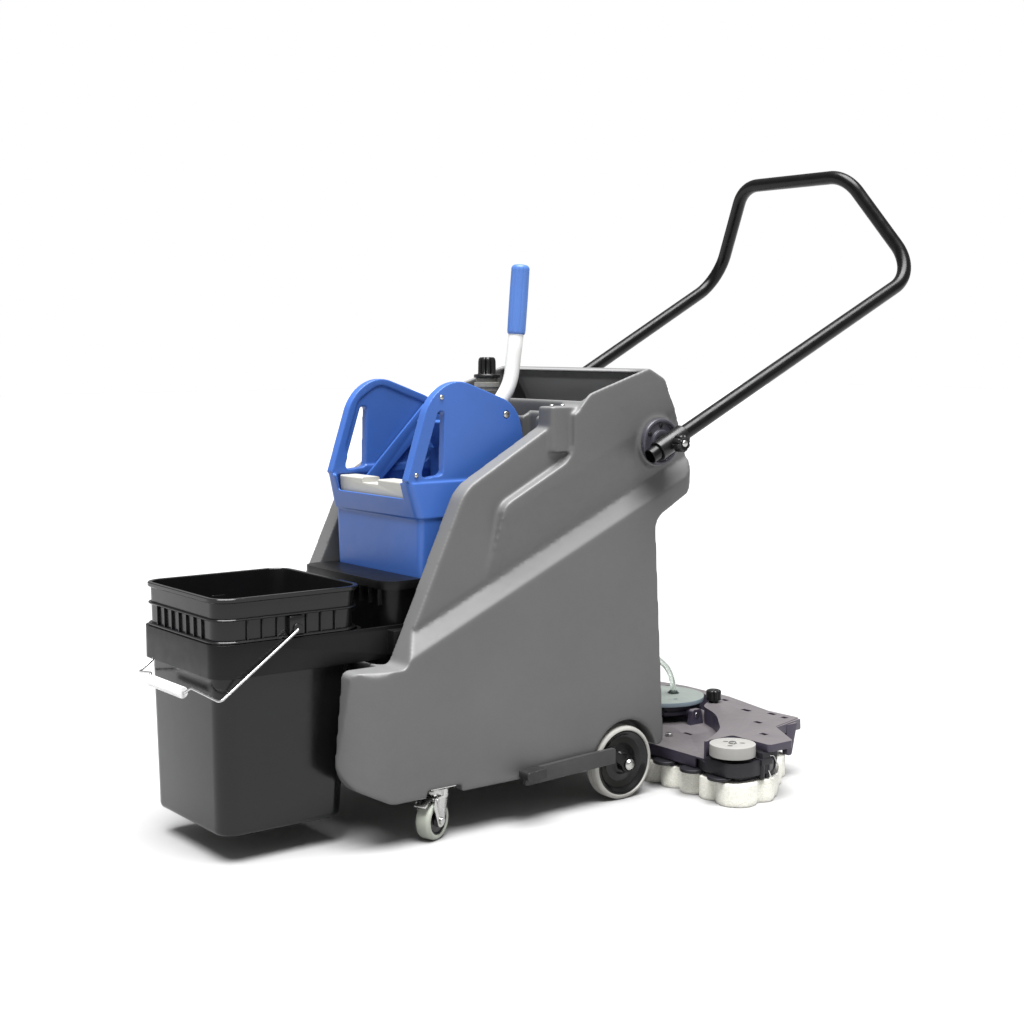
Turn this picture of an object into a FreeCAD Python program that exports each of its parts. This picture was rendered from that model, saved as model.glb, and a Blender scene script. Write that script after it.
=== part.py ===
import FreeCAD, Part
import math
import os

# Push floor-scrubbing cart: a moulded body on four wheels, a bucket held in front, a down-press
# wringer over a second pail, a trailing scrub deck behind, and a tilting push handle.
# Millimetres. While the pieces are made, x = 0 is the rear axle, -X is the front, y = 0 the middle
# and z = 0 the floor. Every piece is moved along X at the end, so that the origin is the middle of
# the whole machine's footprint.

V = FreeCAD.Vector
SIDES = (("left", -1), ("right", 1))

# Wheels
rear_wheel_r = 63.5
rear_wheel_inner_y = 176.0
rear_wheel_outer_y = 205.0
tyre_inner_r = 55.5
axle_r = 8.0
axle_left_y = -218.0
axle_right_y = 213.0
pedal_out_y = -217.0
pedal_in_y = -209.0
shaft_fit = 0.06
caster_wheel_r = 31.75
caster_swivel_x = -372.0
caster_swivel_y = 182.0
caster_trail = 15.0
caster_yaw = {-1: 23.0, 1: -14.0}
caster_plate_z = 84.0
brake_x = -25.0
brake_z = 66.0
brake_pin_r = 3.0

# Moulded body
body_half_y = 205.0
body_floor_z = 72.0
wall = 7.0
bay_half_y = 150.0
bay_front_x = -455.0
pail_notch_x = -462.0
bay_back_x = -126.0
bay_floor_z = 78.0
divider_back_x = -86.0
divider_top_z = 693.0
rim_back_x = 51.0
rim_back_z = 734.0
belt_slope = 0.441
belt_low_z = 484.5
belt_inset = 22.0
belt_rise = 30.0
border_depth = 20.0
border_back_x = -112.0
groove_y = (84.0, 117.0)
groove_depth = 14.0
filler_x = -106.0
filler_y = 44.0
barb_x = 84.0
barb_z = 205.0
linkage_bay_half_y = 82.0
linkage_bay_top_z = 134.0

# Pails
pail_x = -595.0
pail_base = (-713.0, -501.0, 119.0)
pail_rim = (-718.5, -471.5, 126.0)
pail_base_z = 42.0
pail_rim_z = 404.0
pail_wall = 2.8
pail_corner_r = 30.0
ring_low_z = 285.0
ring_top_z = 336.0
ring_thick = 5.0
ring_front_x = -725.5
ring_back_x = -464.5
ring_half_y = 132.5
ring_arm_x = -376.0
bail_half_y = 139.0
bail_wire_r = 2.0
bail_pivot_x = -591.0
bail_pivot_z = 350.0
tray_front_x = -432.0
tray_back_x = -144.0
tray_half_y = 133.0
tray_top_z = 405.0

# Wringer
basket_front_x = -363.0
basket_back_x = -166.0
basket_half_y = 127.0
basket_floor_z = 397.0
collar_z = 499.0
cheek_in_y = 106.0
cheek_out_y = 123.0
arm_in_y = 100.0
back_plate_half_y = 96.0
press_x = -189.0
press_z = 659.0
lever_y = -84.0
lever_tube_r = 12.5

# Handle
handle_x = 72.0
handle_z = 609.0
handle_pivot_y = 234.0
handle_bend = (667.0, 262.0, 907.0)
handle_bar = (611.0, 135.0, 1091.0)
handle_bend_r = 73.0
handle_tube_r = 12.7
handle_bore_r = 10.7
flange_r = 40.0

# Scrub deck
deck_front_x = 112.0
deck_top_z = 100.0
deck_ledge_z = 69.0
deck_plate_thick = 3.5
deck_skirt = 13.0
disc_x = 277.0
disc_r = 78.0
disc_top_z = 109.0
boot_x = 303.0
boot_y = -1.0
well_back_x = 369.0
arm_y = 52.0
arm_end_x = 250.0
arm_top_z = 98.0
trunnion_z = 86.0
trunnion_r = 5.0
roller_x = 137.0
roller_y = 326.0
roller_r = 39.0
roller_low_z = 81.0
roller_top_z = 101.0
post_x = 170.0
pad_top_z = 40.0

parts = {}


# ---- shape helpers ----

def box(x0, x1, y0, y1, z0, z1):
    return Part.makeBox(x1 - x0, y1 - y0, z1 - z0, V(x0, y0, z0))


def rod(start, end, radius):
    """Cylinder from one point to another."""
    a = V(*start)
    b = V(*end)
    return Part.makeCylinder(radius, (b - a).Length, a, b - a)


def disc_z(x, y, z0, z1, radius):
    return Part.makeCylinder(radius, z1 - z0, V(x, y, z0))


def fuse(shapes):
    first, *rest = shapes
    return first.multiFuse(rest).removeSplitter() if rest else first


def union_of_solids(shapes):
    return Part.makeCompound(shapes)


def mirrored(shape):
    return shape.mirror(V(0, 0, 0), V(0, 1, 0))


def on_side(shape, side):
    """A piece drawn on the left (-Y) side, or its mirror image."""
    return shape if side < 0 else mirrored(shape)


def rounded_wire(corners):
    """Closed wire through corners, each a Vector and a fillet radius."""
    count = len(corners)
    starts = []
    ends = []
    arcs = []
    for i, (corner, radius) in enumerate(corners):
        before = (corners[i - 1][0] - corner).normalize()
        after = (corners[(i + 1) % count][0] - corner).normalize()
        half_angle = before.getAngle(after) / 2
        if radius <= 0:
            starts.append(corner)
            ends.append(corner)
            arcs.append(None)
            continue
        reach = radius / math.tan(half_angle)
        middle_way = (before + after).normalize()
        centre_distance = radius / math.sin(half_angle)
        middle = corner + middle_way * (centre_distance - radius)
        starts.append(corner + before * reach)
        ends.append(corner + after * reach)
        arcs.append(Part.Arc(starts[-1], middle, ends[-1]).toShape())
    edges = []
    for i in range(count):
        if arcs[i]:
            edges.append(arcs[i])
        nxt = starts[(i + 1) % count]
        if (nxt - ends[i]).Length > 1e-6:
            edges.append(Part.LineSegment(ends[i], nxt).toShape())
    return Part.Wire(edges)


def side_face(points, y=0.0):
    """Face in the XZ plane from (x, z, fillet radius) points."""
    return Part.Face(rounded_wire([(V(x, y, z), r) for x, z, r in points]))


def side_prism(points, y0, y1):
    return side_face(points, y0).extrude(V(0, y1 - y0, 0))


def plan_prism(points, z0, z1):
    """Solid standing on the XY plane from (x, y, fillet radius) points."""
    face = Part.Face(rounded_wire([(V(x, y, z0), r) for x, y, r in points]))
    return face.extrude(V(0, 0, z1 - z0))


def rounded_rect(x0, x1, half_y, z, radius):
    points = ((x0, -half_y), (x1, -half_y), (x1, half_y), (x0, half_y))
    return rounded_wire([(V(x, y, z), radius) for x, y in points])


def tapered_box(low, high, radius):
    """Loft between two rounded rectangles, each (x0, x1, half_y, z)."""
    wires = [rounded_rect(x0, x1, half_y, z, radius) for x0, x1, half_y, z in (low, high)]
    return Part.makeLoft(wires, True, True)


def ring_band(x0, x1, half_y, z0, z1, thick, radius):
    """Upright rectangular band of the given wall thickness."""
    outer = tapered_box((x0, x1, half_y, z0), (x0, x1, half_y, z1), radius)
    inner = tapered_box(
        (x0 + thick, x1 - thick, half_y - thick, z0 - 1),
        (x0 + thick, x1 - thick, half_y - thick, z1 + 1),
        radius - thick,
    )
    return outer.cut(inner)


def bent_tube(points, tube_r, bend_r, bore_r=0.0):
    """Round tube along straight runs joined by tangent arcs."""
    route = [V(*p) for p in points]
    edges = []
    last = route[0]
    for before, corner, after in zip(route, route[1:], route[2:]):
        way_in = (before - corner).normalize()
        way_out = (after - corner).normalize()
        half_angle = way_in.getAngle(way_out) / 2
        reach = bend_r / math.tan(half_angle)
        start = corner + way_in * reach
        end = corner + way_out * reach
        middle_way = (way_in + way_out).normalize()
        middle = corner + middle_way * (bend_r / math.sin(half_angle) - bend_r)
        edges.append(Part.LineSegment(last, start).toShape())
        edges.append(Part.Arc(start, middle, end).toShape())
        last = end
    edges.append(Part.LineSegment(last, route[-1]).toShape())
    path = Part.Wire(edges)
    heading = route[1] - route[0]

    def sweep(radius):
        circle = Part.Wire(Part.makeCircle(radius, route[0], heading))
        return path.makePipeShell([circle], True, True)

    solid = sweep(tube_r)
    return solid.cut(sweep(bore_r)) if bore_r else solid


# ---- moulded body ----

def body_outline():
    """Side outline of the body as (x, z, fillet radius)."""
    return (
        (-470, body_floor_z, 20),
        (-543, 108, 50),
        (-526, 280, 12),
        (-442, 280, 14),
        (-316, 548, 70),
        (-105, 664, 20),
        (-79, divider_top_z, 30),
        (rim_back_x, rim_back_z, 14),
        (86, 716, 20),
        (159, 580, 38),
        (151, 522, 30),
        (68, 477, 30),
        (91, 84, 10),
        (-225, body_floor_z, 60),
    )


def belt_cut(grow=0.0):
    """Wedge that insets the left upper panel above the sloping belt shelf."""
    far_x = -720.0
    run = 1000.0
    low = belt_low_z + belt_slope * far_x
    skin = -body_half_y
    section = (
        (skin, -grow),
        (skin + belt_inset + grow, belt_rise),
        (skin + belt_inset - 8 + grow, 75),
        (skin + 3 + grow, 130),
        (skin + 0.2 + grow, 190),
        (skin - 40, 190),
        (skin - 40, -grow),
    )
    corners = [V(far_x, y, low + h) for y, h in section]
    face = Part.Face(Part.makePolygon(corners + corners[:1]))
    return face.extrude(V(run, 0, run * belt_slope))


def border_cut(grow=0.0):
    """Slice that sets the left front border back from the tank panel."""
    points = (
        (-281 + grow, 385 - grow, 0),
        (-252 + grow, 520 - grow, 30),
        (border_back_x + grow, 590 - grow, 40),
        (border_back_x + grow, 740, 0),
        (-620, 740, 0),
        (-620, 243 - grow, 0),
    )
    return side_prism(points, -body_half_y - 30, -body_half_y + border_depth + grow)


def wheel_arch_cut(grow=0.0):
    arch = Part.makeCylinder(
        71 + grow, 60, V(4, -rear_wheel_inner_y + 8 + grow, 66), V(0, -1, 0)
    )
    return arch


def caster_pocket_cut(grow=0.0):
    half = 33 + grow
    return box(
        caster_swivel_x - half, caster_swivel_x + half,
        -caster_swivel_y - 24 - grow, -caster_swivel_y + half,
        body_floor_z - 20, caster_plate_z + grow,
    )


def side_hollow_face():
    return Part.Face(side_face(body_outline()).OuterWire).makeOffset2D(-wall)


def body_plan(inset=0.0):
    """Plan of the body with its round front corners, as a tall block."""
    front = -544 + inset
    back = 160 - inset
    half = body_half_y - inset
    corners = (
        (front, -half, 75 - inset), (back, -half, 24 - inset),
        (back, half, 24 - inset), (front, half, 75 - inset),
    )
    return plan_prism(corners, 0, 900)


def body_hollow():
    """The clean-water space: the whole rear, and both side walls of the bay."""
    half = body_half_y - wall
    hollow = side_hollow_face()
    hollow.translate(V(0, -half, 0))
    hollow = hollow.extrude(V(0, 2 * half, 0)).common(body_plan(wall))
    hollow = hollow.cut(box(-700, 300, -300, 300, 0, linkage_bay_top_z + wall))
    bay_shell = box(-700, divider_back_x, -bay_half_y - wall, bay_half_y + wall, 0, 900)
    hollow = hollow.cut(bay_shell)
    for side in (-1, 1):
        hollow = hollow.cut(on_side(wheel_arch_cut(wall), side))
        hollow = hollow.cut(on_side(border_cut(wall), side))
        hollow = hollow.cut(on_side(belt_cut(wall), side))
    mouth = box(divider_back_x, rim_back_x - 8, -body_half_y + 8, body_half_y - 8, 640, 800)
    return hollow.fuse(mouth)


def divider_groove(grow=0.0):
    """Upright groove in the left half of the divider's front face."""
    near, far = groove_y
    return box(
        bay_back_x - 1, bay_back_x + groove_depth + grow, -far - grow, -near + grow,
        430 - grow, 900,
    )


def tank_body():
    shell = side_prism(body_outline(), -body_half_y, body_half_y)
    shell = shell.common(body_plan())
    for side in (-1, 1):
        for cut in (belt_cut(), border_cut(), wheel_arch_cut(), caster_pocket_cut()):
            shell = shell.cut(on_side(cut, side))
    shell = shell.cut(body_hollow())
    bay = tapered_box(
        (bay_front_x, bay_back_x, bay_half_y, bay_floor_z),
        (bay_front_x, bay_back_x, bay_half_y, 900),
        22,
    )
    shell = shell.cut(bay)
    shell = shell.cut(box(-700, pail_notch_x, -bay_half_y, bay_half_y, 0, 900))
    divider_hollow = box(
        bay_back_x + wall, divider_back_x - wall, -bay_half_y, bay_half_y,
        bay_floor_z + wall, divider_top_z - wall,
    )
    for side in (-1, 1):
        divider_hollow = divider_hollow.cut(on_side(divider_groove(wall), side))
        shell = shell.cut(on_side(divider_groove(), side))
    shell = shell.cut(divider_hollow)
    top_gap = box(-200, bay_back_x, -bay_half_y, bay_half_y, divider_top_z - 1, 900)
    shell = shell.cut(top_gap)
    underside = box(-40, 110, -linkage_bay_half_y, linkage_bay_half_y, 0, linkage_bay_top_z)
    shell = shell.cut(underside)
    for side in (-1, 1):
        shell = shell.fuse(on_side(corner_boss(), side))
        shell = shell.fuse(on_side(pivot_boss(), side))
    return shell.cut(hose_barb()).removeSplitter()


def corner_boss():
    """Flat-topped block where the bay's side wall meets the tank."""
    return tapered_box(
        (-152, -88, 22, 600), (-150, -90, 20, 673), 8
    ).translated(V(0, -173, 0))


def pivot_boss():
    """Round pad that carries the left pivot flange out to the body's full width."""
    depth = belt_inset + wall - 2
    return Part.makeCylinder(
        flange_r + 3, depth, V(handle_x, -body_half_y + depth, handle_z), V(0, -1, 0)
    )


def rim_screws():
    screws = []
    for side in (-1, 1):
        for x in (-134, -112):
            screws.append(on_side(disc_z(x, -172, 673, 676, 4.5), side))
    return union_of_solids(screws)


def filler_neck():
    outer = disc_z(filler_x, filler_y, divider_top_z, 715, 20)
    outer = outer.fuse(disc_z(filler_x, filler_y, 700, 708, 22))
    return outer.cut(disc_z(filler_x, filler_y, divider_top_z - 1, 716, 16)).removeSplitter()


def filler_cap():
    """Screw cap: stopper, flange and a fluted knob."""
    x = filler_x
    y = filler_y
    cap = fuse([
        disc_z(x, y, 698, 715.3, 15.6),
        disc_z(x, y, 715.3, 721, 23),
        disc_z(x, y, 721, 746, 15.5),
        Part.makeCone(15.5, 13, 5, V(x, y, 746)),
    ])
    flutes = []
    for i in range(10):
        angle = math.radians(36 * i)
        flutes.append(disc_z(x + 17.5 * math.cos(angle), y + 17.5 * math.sin(angle), 723, 752, 3.2))
    return cap.cut(union_of_solids(flutes))


def hose_barb():
    """Outlet elbow of the tank, low on the rear wall."""
    return fuse([
        rod((barb_x - 12, 0, barb_z), (barb_x + 6, 0, barb_z), 9),
        rod((barb_x + 6, 0, barb_z), (barb_x + 26, 0, barb_z), 4.15),
    ])


def solution_tube():
    """Clear tube from the outlet down into the disc's boot."""
    route = (
        (barb_x + 8, 0, barb_z), (190, 0, barb_z), (250, 0, 190), (290, boot_y, 158),
        (boot_x, boot_y, 128), (boot_x, boot_y, 104),
    )
    return bent_tube(route, 5.4, 60, 4.2)


def handle_flange():
    """Round pivot flange on the left side with a boss for the clamp."""
    skin = -body_half_y
    plate = Part.makeCylinder(flange_r, 5, V(handle_x, skin, handle_z), V(0, -1, 0))
    hub = Part.makeCylinder(20, 9, V(handle_x, skin, handle_z), V(0, -1, 0))
    rim = Part.makeCylinder(flange_r, 8, V(handle_x, skin, handle_z), V(0, -1, 0)).cut(
        Part.makeCylinder(flange_r - 5, 30, V(handle_x, skin + 5, handle_z), V(0, -1, 0))
    )
    flange = fuse([plate, hub, rim])
    bore = Part.makeCylinder(6.08, 60, V(handle_x, skin + 20, handle_z), V(0, -1, 0))
    return flange.cut(bore)


def flange_screws():
    screws = []
    for side in (-1, 1):
        for i in range(6):
            angle = math.radians(30 + 60 * i)
            x = handle_x + 28 * math.cos(angle)
            z = handle_z + 28 * math.sin(angle)
            head = Part.makeCylinder(4, 2.5, V(x, -body_half_y - 5, z), V(0, -1, 0))
            screws.append(on_side(head, side))
    return union_of_solids(screws)


# ---- handle ----

def handle_path():
    px, py, pz = handle_bend
    bx, by, bz = handle_bar
    slope = (pz - handle_z) / (px - handle_x)
    splay = (py - handle_pivot_y) / (px - handle_x)
    stub = -44.0
    start = (handle_x + stub, -handle_pivot_y - splay * stub, handle_z + slope * stub)
    return (
        start, (px, -py, pz), (bx, -by, bz), (bx, by, bz), (px, py, pz),
        (start[0], -start[1], start[2]),
    )


def handle_tube():
    """The whole looped tube, bored where its two pivot pins pass."""
    tube = bent_tube(handle_path(), handle_tube_r, handle_bend_r, handle_bore_r)
    for side in (-1, 1):
        hole = Part.makeCylinder(5.95, 60, V(handle_x, -handle_pivot_y + 30, handle_z), V(0, -1, 0))
        tube = tube.cut(on_side(hole, side))
    return tube


def pivot_clamp():
    """Socket round the tube with a stub that turns against the flange."""
    start, bend = handle_path()[:2]
    a = V(*start)
    along = (V(*bend) - a).normalize()
    pivot = V(handle_x, -handle_pivot_y, handle_z)
    sleeve = Part.makeCylinder(17, 62, pivot - along * 31, along)
    stub = Part.makeCylinder(15.5, handle_pivot_y - body_half_y - 9.2, pivot, V(0, 1, 0))
    clamp = sleeve.fuse(stub)
    tube = Part.makeCylinder(handle_tube_r + 0.02, 400, pivot - along * 200, along)
    hole = Part.makeCylinder(5.95, 80, pivot + V(0, 40, 0), V(0, -1, 0))
    return clamp.cut(tube).cut(hole)


def pivot_pin():
    """Through-bolt of the left pivot with a domed bright end."""
    y_in = -body_half_y - 0.2
    length = handle_pivot_y - body_half_y + 39
    return Part.makeCylinder(5.9, length, V(handle_x, y_in, handle_z), V(0, -1, 0))


def pivot_knob():
    """Clamping knob on the left pivot bolt."""
    y_out = -handle_pivot_y - 19.0
    knob = Part.makeCylinder(15, 16, V(handle_x, y_out, handle_z), V(0, -1, 0))
    bore = Part.makeCylinder(6.0, 60, V(handle_x, y_out + 20, handle_z), V(0, -1, 0))
    flutes = []
    for i in range(8):
        angle = math.radians(45 * i)
        centre = V(handle_x + 17 * math.cos(angle), y_out + 1, handle_z + 17 * math.sin(angle))
        flutes.append(Part.makeCylinder(3.5, 20, centre, V(0, -1, 0)))
    return knob.cut(bore).cut(union_of_solids(flutes))


# ---- wheels, axle and pedal ----

def revolved_y(profile, y_sign=1):
    """Solid of revolution about the rear axle from (y, radius) points."""
    points = [V(0, y, rear_wheel_r + r) for y, r in profile]
    face = Part.Face(Part.makePolygon(points + points[:1]))
    return face.revolve(V(0, 0, rear_wheel_r), V(0, 1, 0), 360)


def rear_tyre():
    a = -rear_wheel_outer_y
    b = -rear_wheel_inner_y
    r = rear_wheel_r
    return revolved_y((
        (a, tyre_inner_r), (a, r - 4), (a + 4, r), (b - 4, r), (b, r - 4), (b, tyre_inner_r),
    ))


def rear_hub():
    a = -rear_wheel_outer_y
    b = -rear_wheel_inner_y
    bore = axle_r + shaft_fit
    return revolved_y((
        (a + 1, bore), (a + 1, 16), (a + 7, 22), (a + 9, 44), (a + 2, 51), (a + 2, tyre_inner_r),
        (b - 2, tyre_inner_r), (b - 2, 51), (b - 8, 44), (b - 7, 22), (b, 16), (b, bore),
    ))


def axle_shaft():
    """Lift shaft: it carries the wheels and turns with the pedal."""
    return rod((0, axle_left_y, rear_wheel_r), (0, axle_right_y, rear_wheel_r), axle_r)


def axle_nuts():
    left = rod((0, axle_left_y, rear_wheel_r), (0, axle_left_y - 6, rear_wheel_r), 9.5)
    right = rod((0, axle_right_y - 6.5, rear_wheel_r), (0, axle_right_y, rear_wheel_r), 14)
    return union_of_solids([left, right.cut(axle_shaft())])


def axle_bracket():
    """Steel bearing plate hung from the left underside."""
    plate = side_prism(
        ((-34, 82, 0), (34, 82, 0), (14, 49, 12), (-14, 49, 12)), -156, -150
    )
    foot = box(-34, 34, -156, -126, 76, 84)
    bore = rod((0, -170, rear_wheel_r), (0, -140, rear_wheel_r), axle_r + shaft_fit)
    underside = side_prism(body_outline(), -170, -110)
    return plate.fuse(foot).cut(bore).cut(underside).removeSplitter()


def pedal_arm():
    arm = side_prism(
        (
            (-222, 63, 4), (-30, 70, 3), (-30, 96, 3), (-110, 94, 20), (-222, 89, 4),
        ),
        pedal_out_y, pedal_in_y,
    )
    tread = box(-230, -194, pedal_out_y - 20, pedal_in_y, 81, 89)
    return arm.fuse(tread).removeSplitter()


def pedal_crank():
    """Eye that joins the pedal to the lift shaft."""
    eye = rod((0, pedal_out_y, rear_wheel_r), (0, pedal_in_y, rear_wheel_r), 15)
    tail = side_prism(((-30, 74, 0), (-30, 92, 0), (-4, 77, 0), (-4, 54, 0)), pedal_out_y, pedal_in_y)
    bore = rod((0, -240, rear_wheel_r), (0, -190, rear_wheel_r), axle_r)
    return eye.fuse(tail).cut(bore).removeSplitter()


def pedal_pad():
    """Rubber cover over the pedal's tread."""
    pad = side_prism(
        ((-237, 77, 6), (-197, 77, 3), (-197, 94, 3), (-237, 92, 6)),
        pedal_out_y - 25, pedal_out_y - 0.2,
    )
    return pad.cut(box(-230, -190, pedal_out_y - 20, pedal_in_y, 81, 89))


def lift_arms():
    """Two cranked flat bars from the shaft back to the disc housing."""
    low = arm_top_z - 11
    arms = []
    for side in (-1, 1):
        bar = side_prism(
            (
                (-14, 54, 8), (10, 52, 8), (92, low, 20), (arm_end_x, low, 0),
                (arm_end_x, arm_top_z, 0), (84, arm_top_z, 20), (-10, 76, 8),
            ),
            -arm_y - 3, -arm_y + 3,
        )
        eye = rod((0, -arm_y - 8, rear_wheel_r), (0, -arm_y + 8, rear_wheel_r), 13)
        bore = rod((0, -90, rear_wheel_r), (0, -20, rear_wheel_r), axle_r)
        arms.append(on_side(bar.fuse(eye).cut(bore).removeSplitter(), side))
    return union_of_solids(arms)


# ---- casters ----

def caster_frame(shape, side):
    """Move a caster piece, drawn trailing toward -X at the origin, to its place."""
    turned = shape.copy()
    turned.rotate(V(0, 0, 0), V(0, 0, 1), caster_yaw[side])
    turned.translate(V(caster_swivel_x, side * caster_swivel_y, 0))
    return turned


def caster_plate(side):
    """Fixed top plate and king pin."""
    plate = box(-24, 24, -19, 19, 81.5, caster_plate_z)
    pin = disc_z(0, 0, 70, 82, 5)
    head = disc_z(0, 0, 67.5, 70, 8)
    solid = fuse([plate, pin, head])
    solid.translate(V(caster_swivel_x, side * caster_swivel_y, 0))
    return solid


def caster_plate_bolts():
    bolts = []
    for side in (-1, 1):
        for dx in (-17, 17):
            for dy in (-12, 12):
                x = caster_swivel_x + dx
                y = side * caster_swivel_y + dy
                bolts.append(disc_z(x, y, 80.7, 81.5, 3.4))
    return union_of_solids(bolts)


def caster_fork():
    """Pressed fork: raceway, crown and two legs to the wheel pin."""
    crown = disc_z(0, 0, 66.5, 80.6, 19).cut(disc_z(0, 0, 60, 90, 5.06))
    crown = crown.cut(disc_z(0, 0, 60, 72, 9.5))
    cheeks = side_prism(
        (
            (6, 71.2, 0), (-31, 71.2, 4), (-36, 60, 8), (-22, 22, 7), (-8, 22, 7), (0, 50, 10),
        ),
        -17.5, 17.5,
    )
    slot = box(-80, 80, -15.3, 15.3, 0, 73)
    legs = cheeks.cut(slot).cut(disc_z(0, 0, 60, 90, 17))
    pin_hole = rod((-caster_trail, -30, caster_wheel_r), (-caster_trail, 30, caster_wheel_r), 4)
    brake_hole = rod((brake_x, -30, brake_z), (brake_x, 30, brake_z), brake_pin_r + shaft_fit)
    fork = crown.fuse(legs).removeSplitter()
    return fork.cut(pin_hole).cut(brake_hole)


def caster_axle():
    z = caster_wheel_r
    return fuse([
        rod((-caster_trail, -19, z), (-caster_trail, 19, z), 4),
        rod((-caster_trail, -20.5, z), (-caster_trail, -17.5, z), 6),
        rod((-caster_trail, 17.5, z), (-caster_trail, 20.5, z), 6),
    ])


def caster_revolved(profile):
    z = caster_wheel_r
    points = [V(-caster_trail, y, z + r) for y, r in profile]
    face = Part.Face(Part.makePolygon(points + points[:1]))
    return face.revolve(V(-caster_trail, 0, z), V(0, 1, 0), 360)


def caster_tyre():
    r = caster_wheel_r
    return caster_revolved((
        (-13, 23), (-13, r - 3), (-10, r), (10, r), (13, r - 3), (13, 23),
    ))


def caster_core():
    return caster_revolved((
        (-14.5, 4.06), (-14.5, 9), (-11, 12), (-11, 23), (11, 23), (11, 12), (14.5, 9), (14.5, 4.06),
    ))


def caster_brake():
    """Foot lever of the caster's brake, on its cross pin."""
    lever = side_prism(
        ((brake_x + 2, 63.8, 1), (-51, 58, 2), (-52, 61.5, 1), (brake_x - 2, 69.5, 2)), -10, 10
    )
    barrel = rod((brake_x, -18.5, brake_z), (brake_x, 18.5, brake_z), brake_pin_r)
    return lever.fuse(barrel).removeSplitter()


# ---- front pail ----

def pail_shell(base, top, radius, thick):
    """Tapered square pail; base and top are (x0, x1, half_y, z)."""
    outer = tapered_box(base, top, radius)
    low = (base[0] + thick, base[1] - thick, base[2] - thick, base[3] + thick)
    high = (top[0] + thick, top[1] - thick, top[2] - thick, top[3] + 1)
    return outer, tapered_box(low, high, radius - thick)


def pail_at(z, proud=0.0):
    """Front x, back x and half width of the front pail's outside at a height."""
    share = (z - pail_base_z) / (pail_rim_z - pail_base_z)
    x0, x1, half_y = (a + share * (b - a) for a, b in zip(pail_base, pail_rim))
    return x0 - proud, x1 + proud, half_y + proud


def pail_band(z, height, proud):
    """Ridge round the pail."""
    size = pail_at(z, proud)
    return tapered_box(size + (z,), size + (z + height,), pail_corner_r + proud)


def pail_ribs():
    """Short upright ribs between the two lower ridges, on all four sides."""
    x0, x1, half_y = pail_at(354, 3.5)
    middle = (x0 + x1) / 2
    ribs = []
    for i in range(-3, 4):
        along = i * 25.0
        ribs.append(box(middle + along - 1, middle + along + 1, -half_y, half_y, 339, 371))
        ribs.append(box(x0, x1, along - 1, along + 1, 339, 371))
    return ribs


def front_pail():
    outer, inner = pail_shell(
        pail_base + (pail_base_z,), pail_rim + (pail_rim_z,), pail_corner_r, pail_wall
    )
    bands = [
        pail_band(ring_top_z + 0.2, 4, 5.5),
        pail_band(370, 3, 4.5),
        pail_band(397, 7, 4.5),
    ]
    pail = fuse([outer] + bands + pail_ribs()).cut(inner)
    return pail_with_ears(pail).removeSplitter()


def pail_with_ears(pail):
    """Add the bosses that the bail hooks into."""
    for side in (-1, 1):
        ear = rod((bail_pivot_x, -122, bail_pivot_z), (bail_pivot_x, -136.5, bail_pivot_z), 8)
        hole = rod((bail_pivot_x, -128, bail_pivot_z), (bail_pivot_x, -150, bail_pivot_z), bail_wire_r + 0.1)
        pail = pail.fuse(on_side(ear, side)).cut(on_side(hole, side))
    return pail


def bail_points():
    """Wire route: up one side, with the grip set forward of the corners."""
    side = (
        (bail_pivot_x, -bail_half_y, bail_pivot_z),
        (-724, -bail_half_y, 256),
        (-736, -70, 267),
        (-742, -58, 258),
    )
    return side + tuple((x, -y, z) for x, y, z in reversed(side))


def bail_wire():
    wire = bent_tube(bail_points(), bail_wire_r, 7)
    hooks = []
    for side in (-1, 1):
        hook = rod(
            (bail_pivot_x, -bail_half_y - 2, bail_pivot_z), (bail_pivot_x, -129, bail_pivot_z), bail_wire_r
        )
        hooks.append(on_side(hook, side))
    return fuse([wire] + hooks)


def bail_grip():
    x, y, z = bail_points()[3]
    grip = rod((x, -54, z), (x, 54, z), 9)
    return grip.cut(rod((x, -60, z), (x, 60, z), bail_wire_r + 0.05))


def holder_ring():
    """Band round the pail that runs back along the bay's walls."""
    band = ring_band(
        ring_front_x, ring_back_x, ring_half_y, ring_low_z, ring_top_z, ring_thick, 32
    )
    for side in (-1, 1):
        arm = box(
            ring_back_x - 40, ring_arm_x, -ring_half_y, -ring_half_y + ring_thick,
            ring_low_z, ring_top_z,
        )
        foot = box(-430, ring_arm_x, -bay_half_y, -ring_half_y, ring_low_z + 6, ring_top_z - 6)
        band = band.fuse(on_side(arm.fuse(foot), side))
    return band.cut(ring_bolts()).removeSplitter()


def ring_bolts():
    bolts = []
    for side in (-1, 1):
        for x in (-405, -388):
            head = rod((x, -ring_half_y + ring_thick, 310), (x, -ring_half_y + 1, 310), 6)
            bolts.append(on_side(head, side))
    return union_of_solids(bolts)


# ---- inner pail and wringer ----

def inner_pail():
    """Pail in the bay that catches the wringer's water."""
    base = (tray_front_x + 20, tray_back_x - 20, tray_half_y - 17, bay_floor_z + 0.2)
    top = (tray_front_x + 7, tray_back_x - 7, tray_half_y - 7, tray_top_z - 9)
    outer, inner = pail_shell(base, top, 26, 3)
    rim = tapered_box(
        (tray_front_x, tray_back_x, tray_half_y, tray_top_z - 14),
        (tray_front_x, tray_back_x, tray_half_y, tray_top_z),
        28,
    )
    seat = tapered_box(
        (basket_front_x - 2, basket_back_x + 2, basket_half_y + 1.2, basket_floor_z - 0.2),
        (basket_front_x - 2, basket_back_x + 2, basket_half_y + 1.2, tray_top_z + 1),
        7,
    )
    ribs = []
    for i in range(-4, 5):
        y = i * 26.0
        ribs.append(box(tray_front_x + 2, tray_front_x + 20, y - 1.2, y + 1.2, 365, tray_top_z - 13))
    return fuse([outer, rim] + ribs).cut(inner).cut(seat).removeSplitter()


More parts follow.
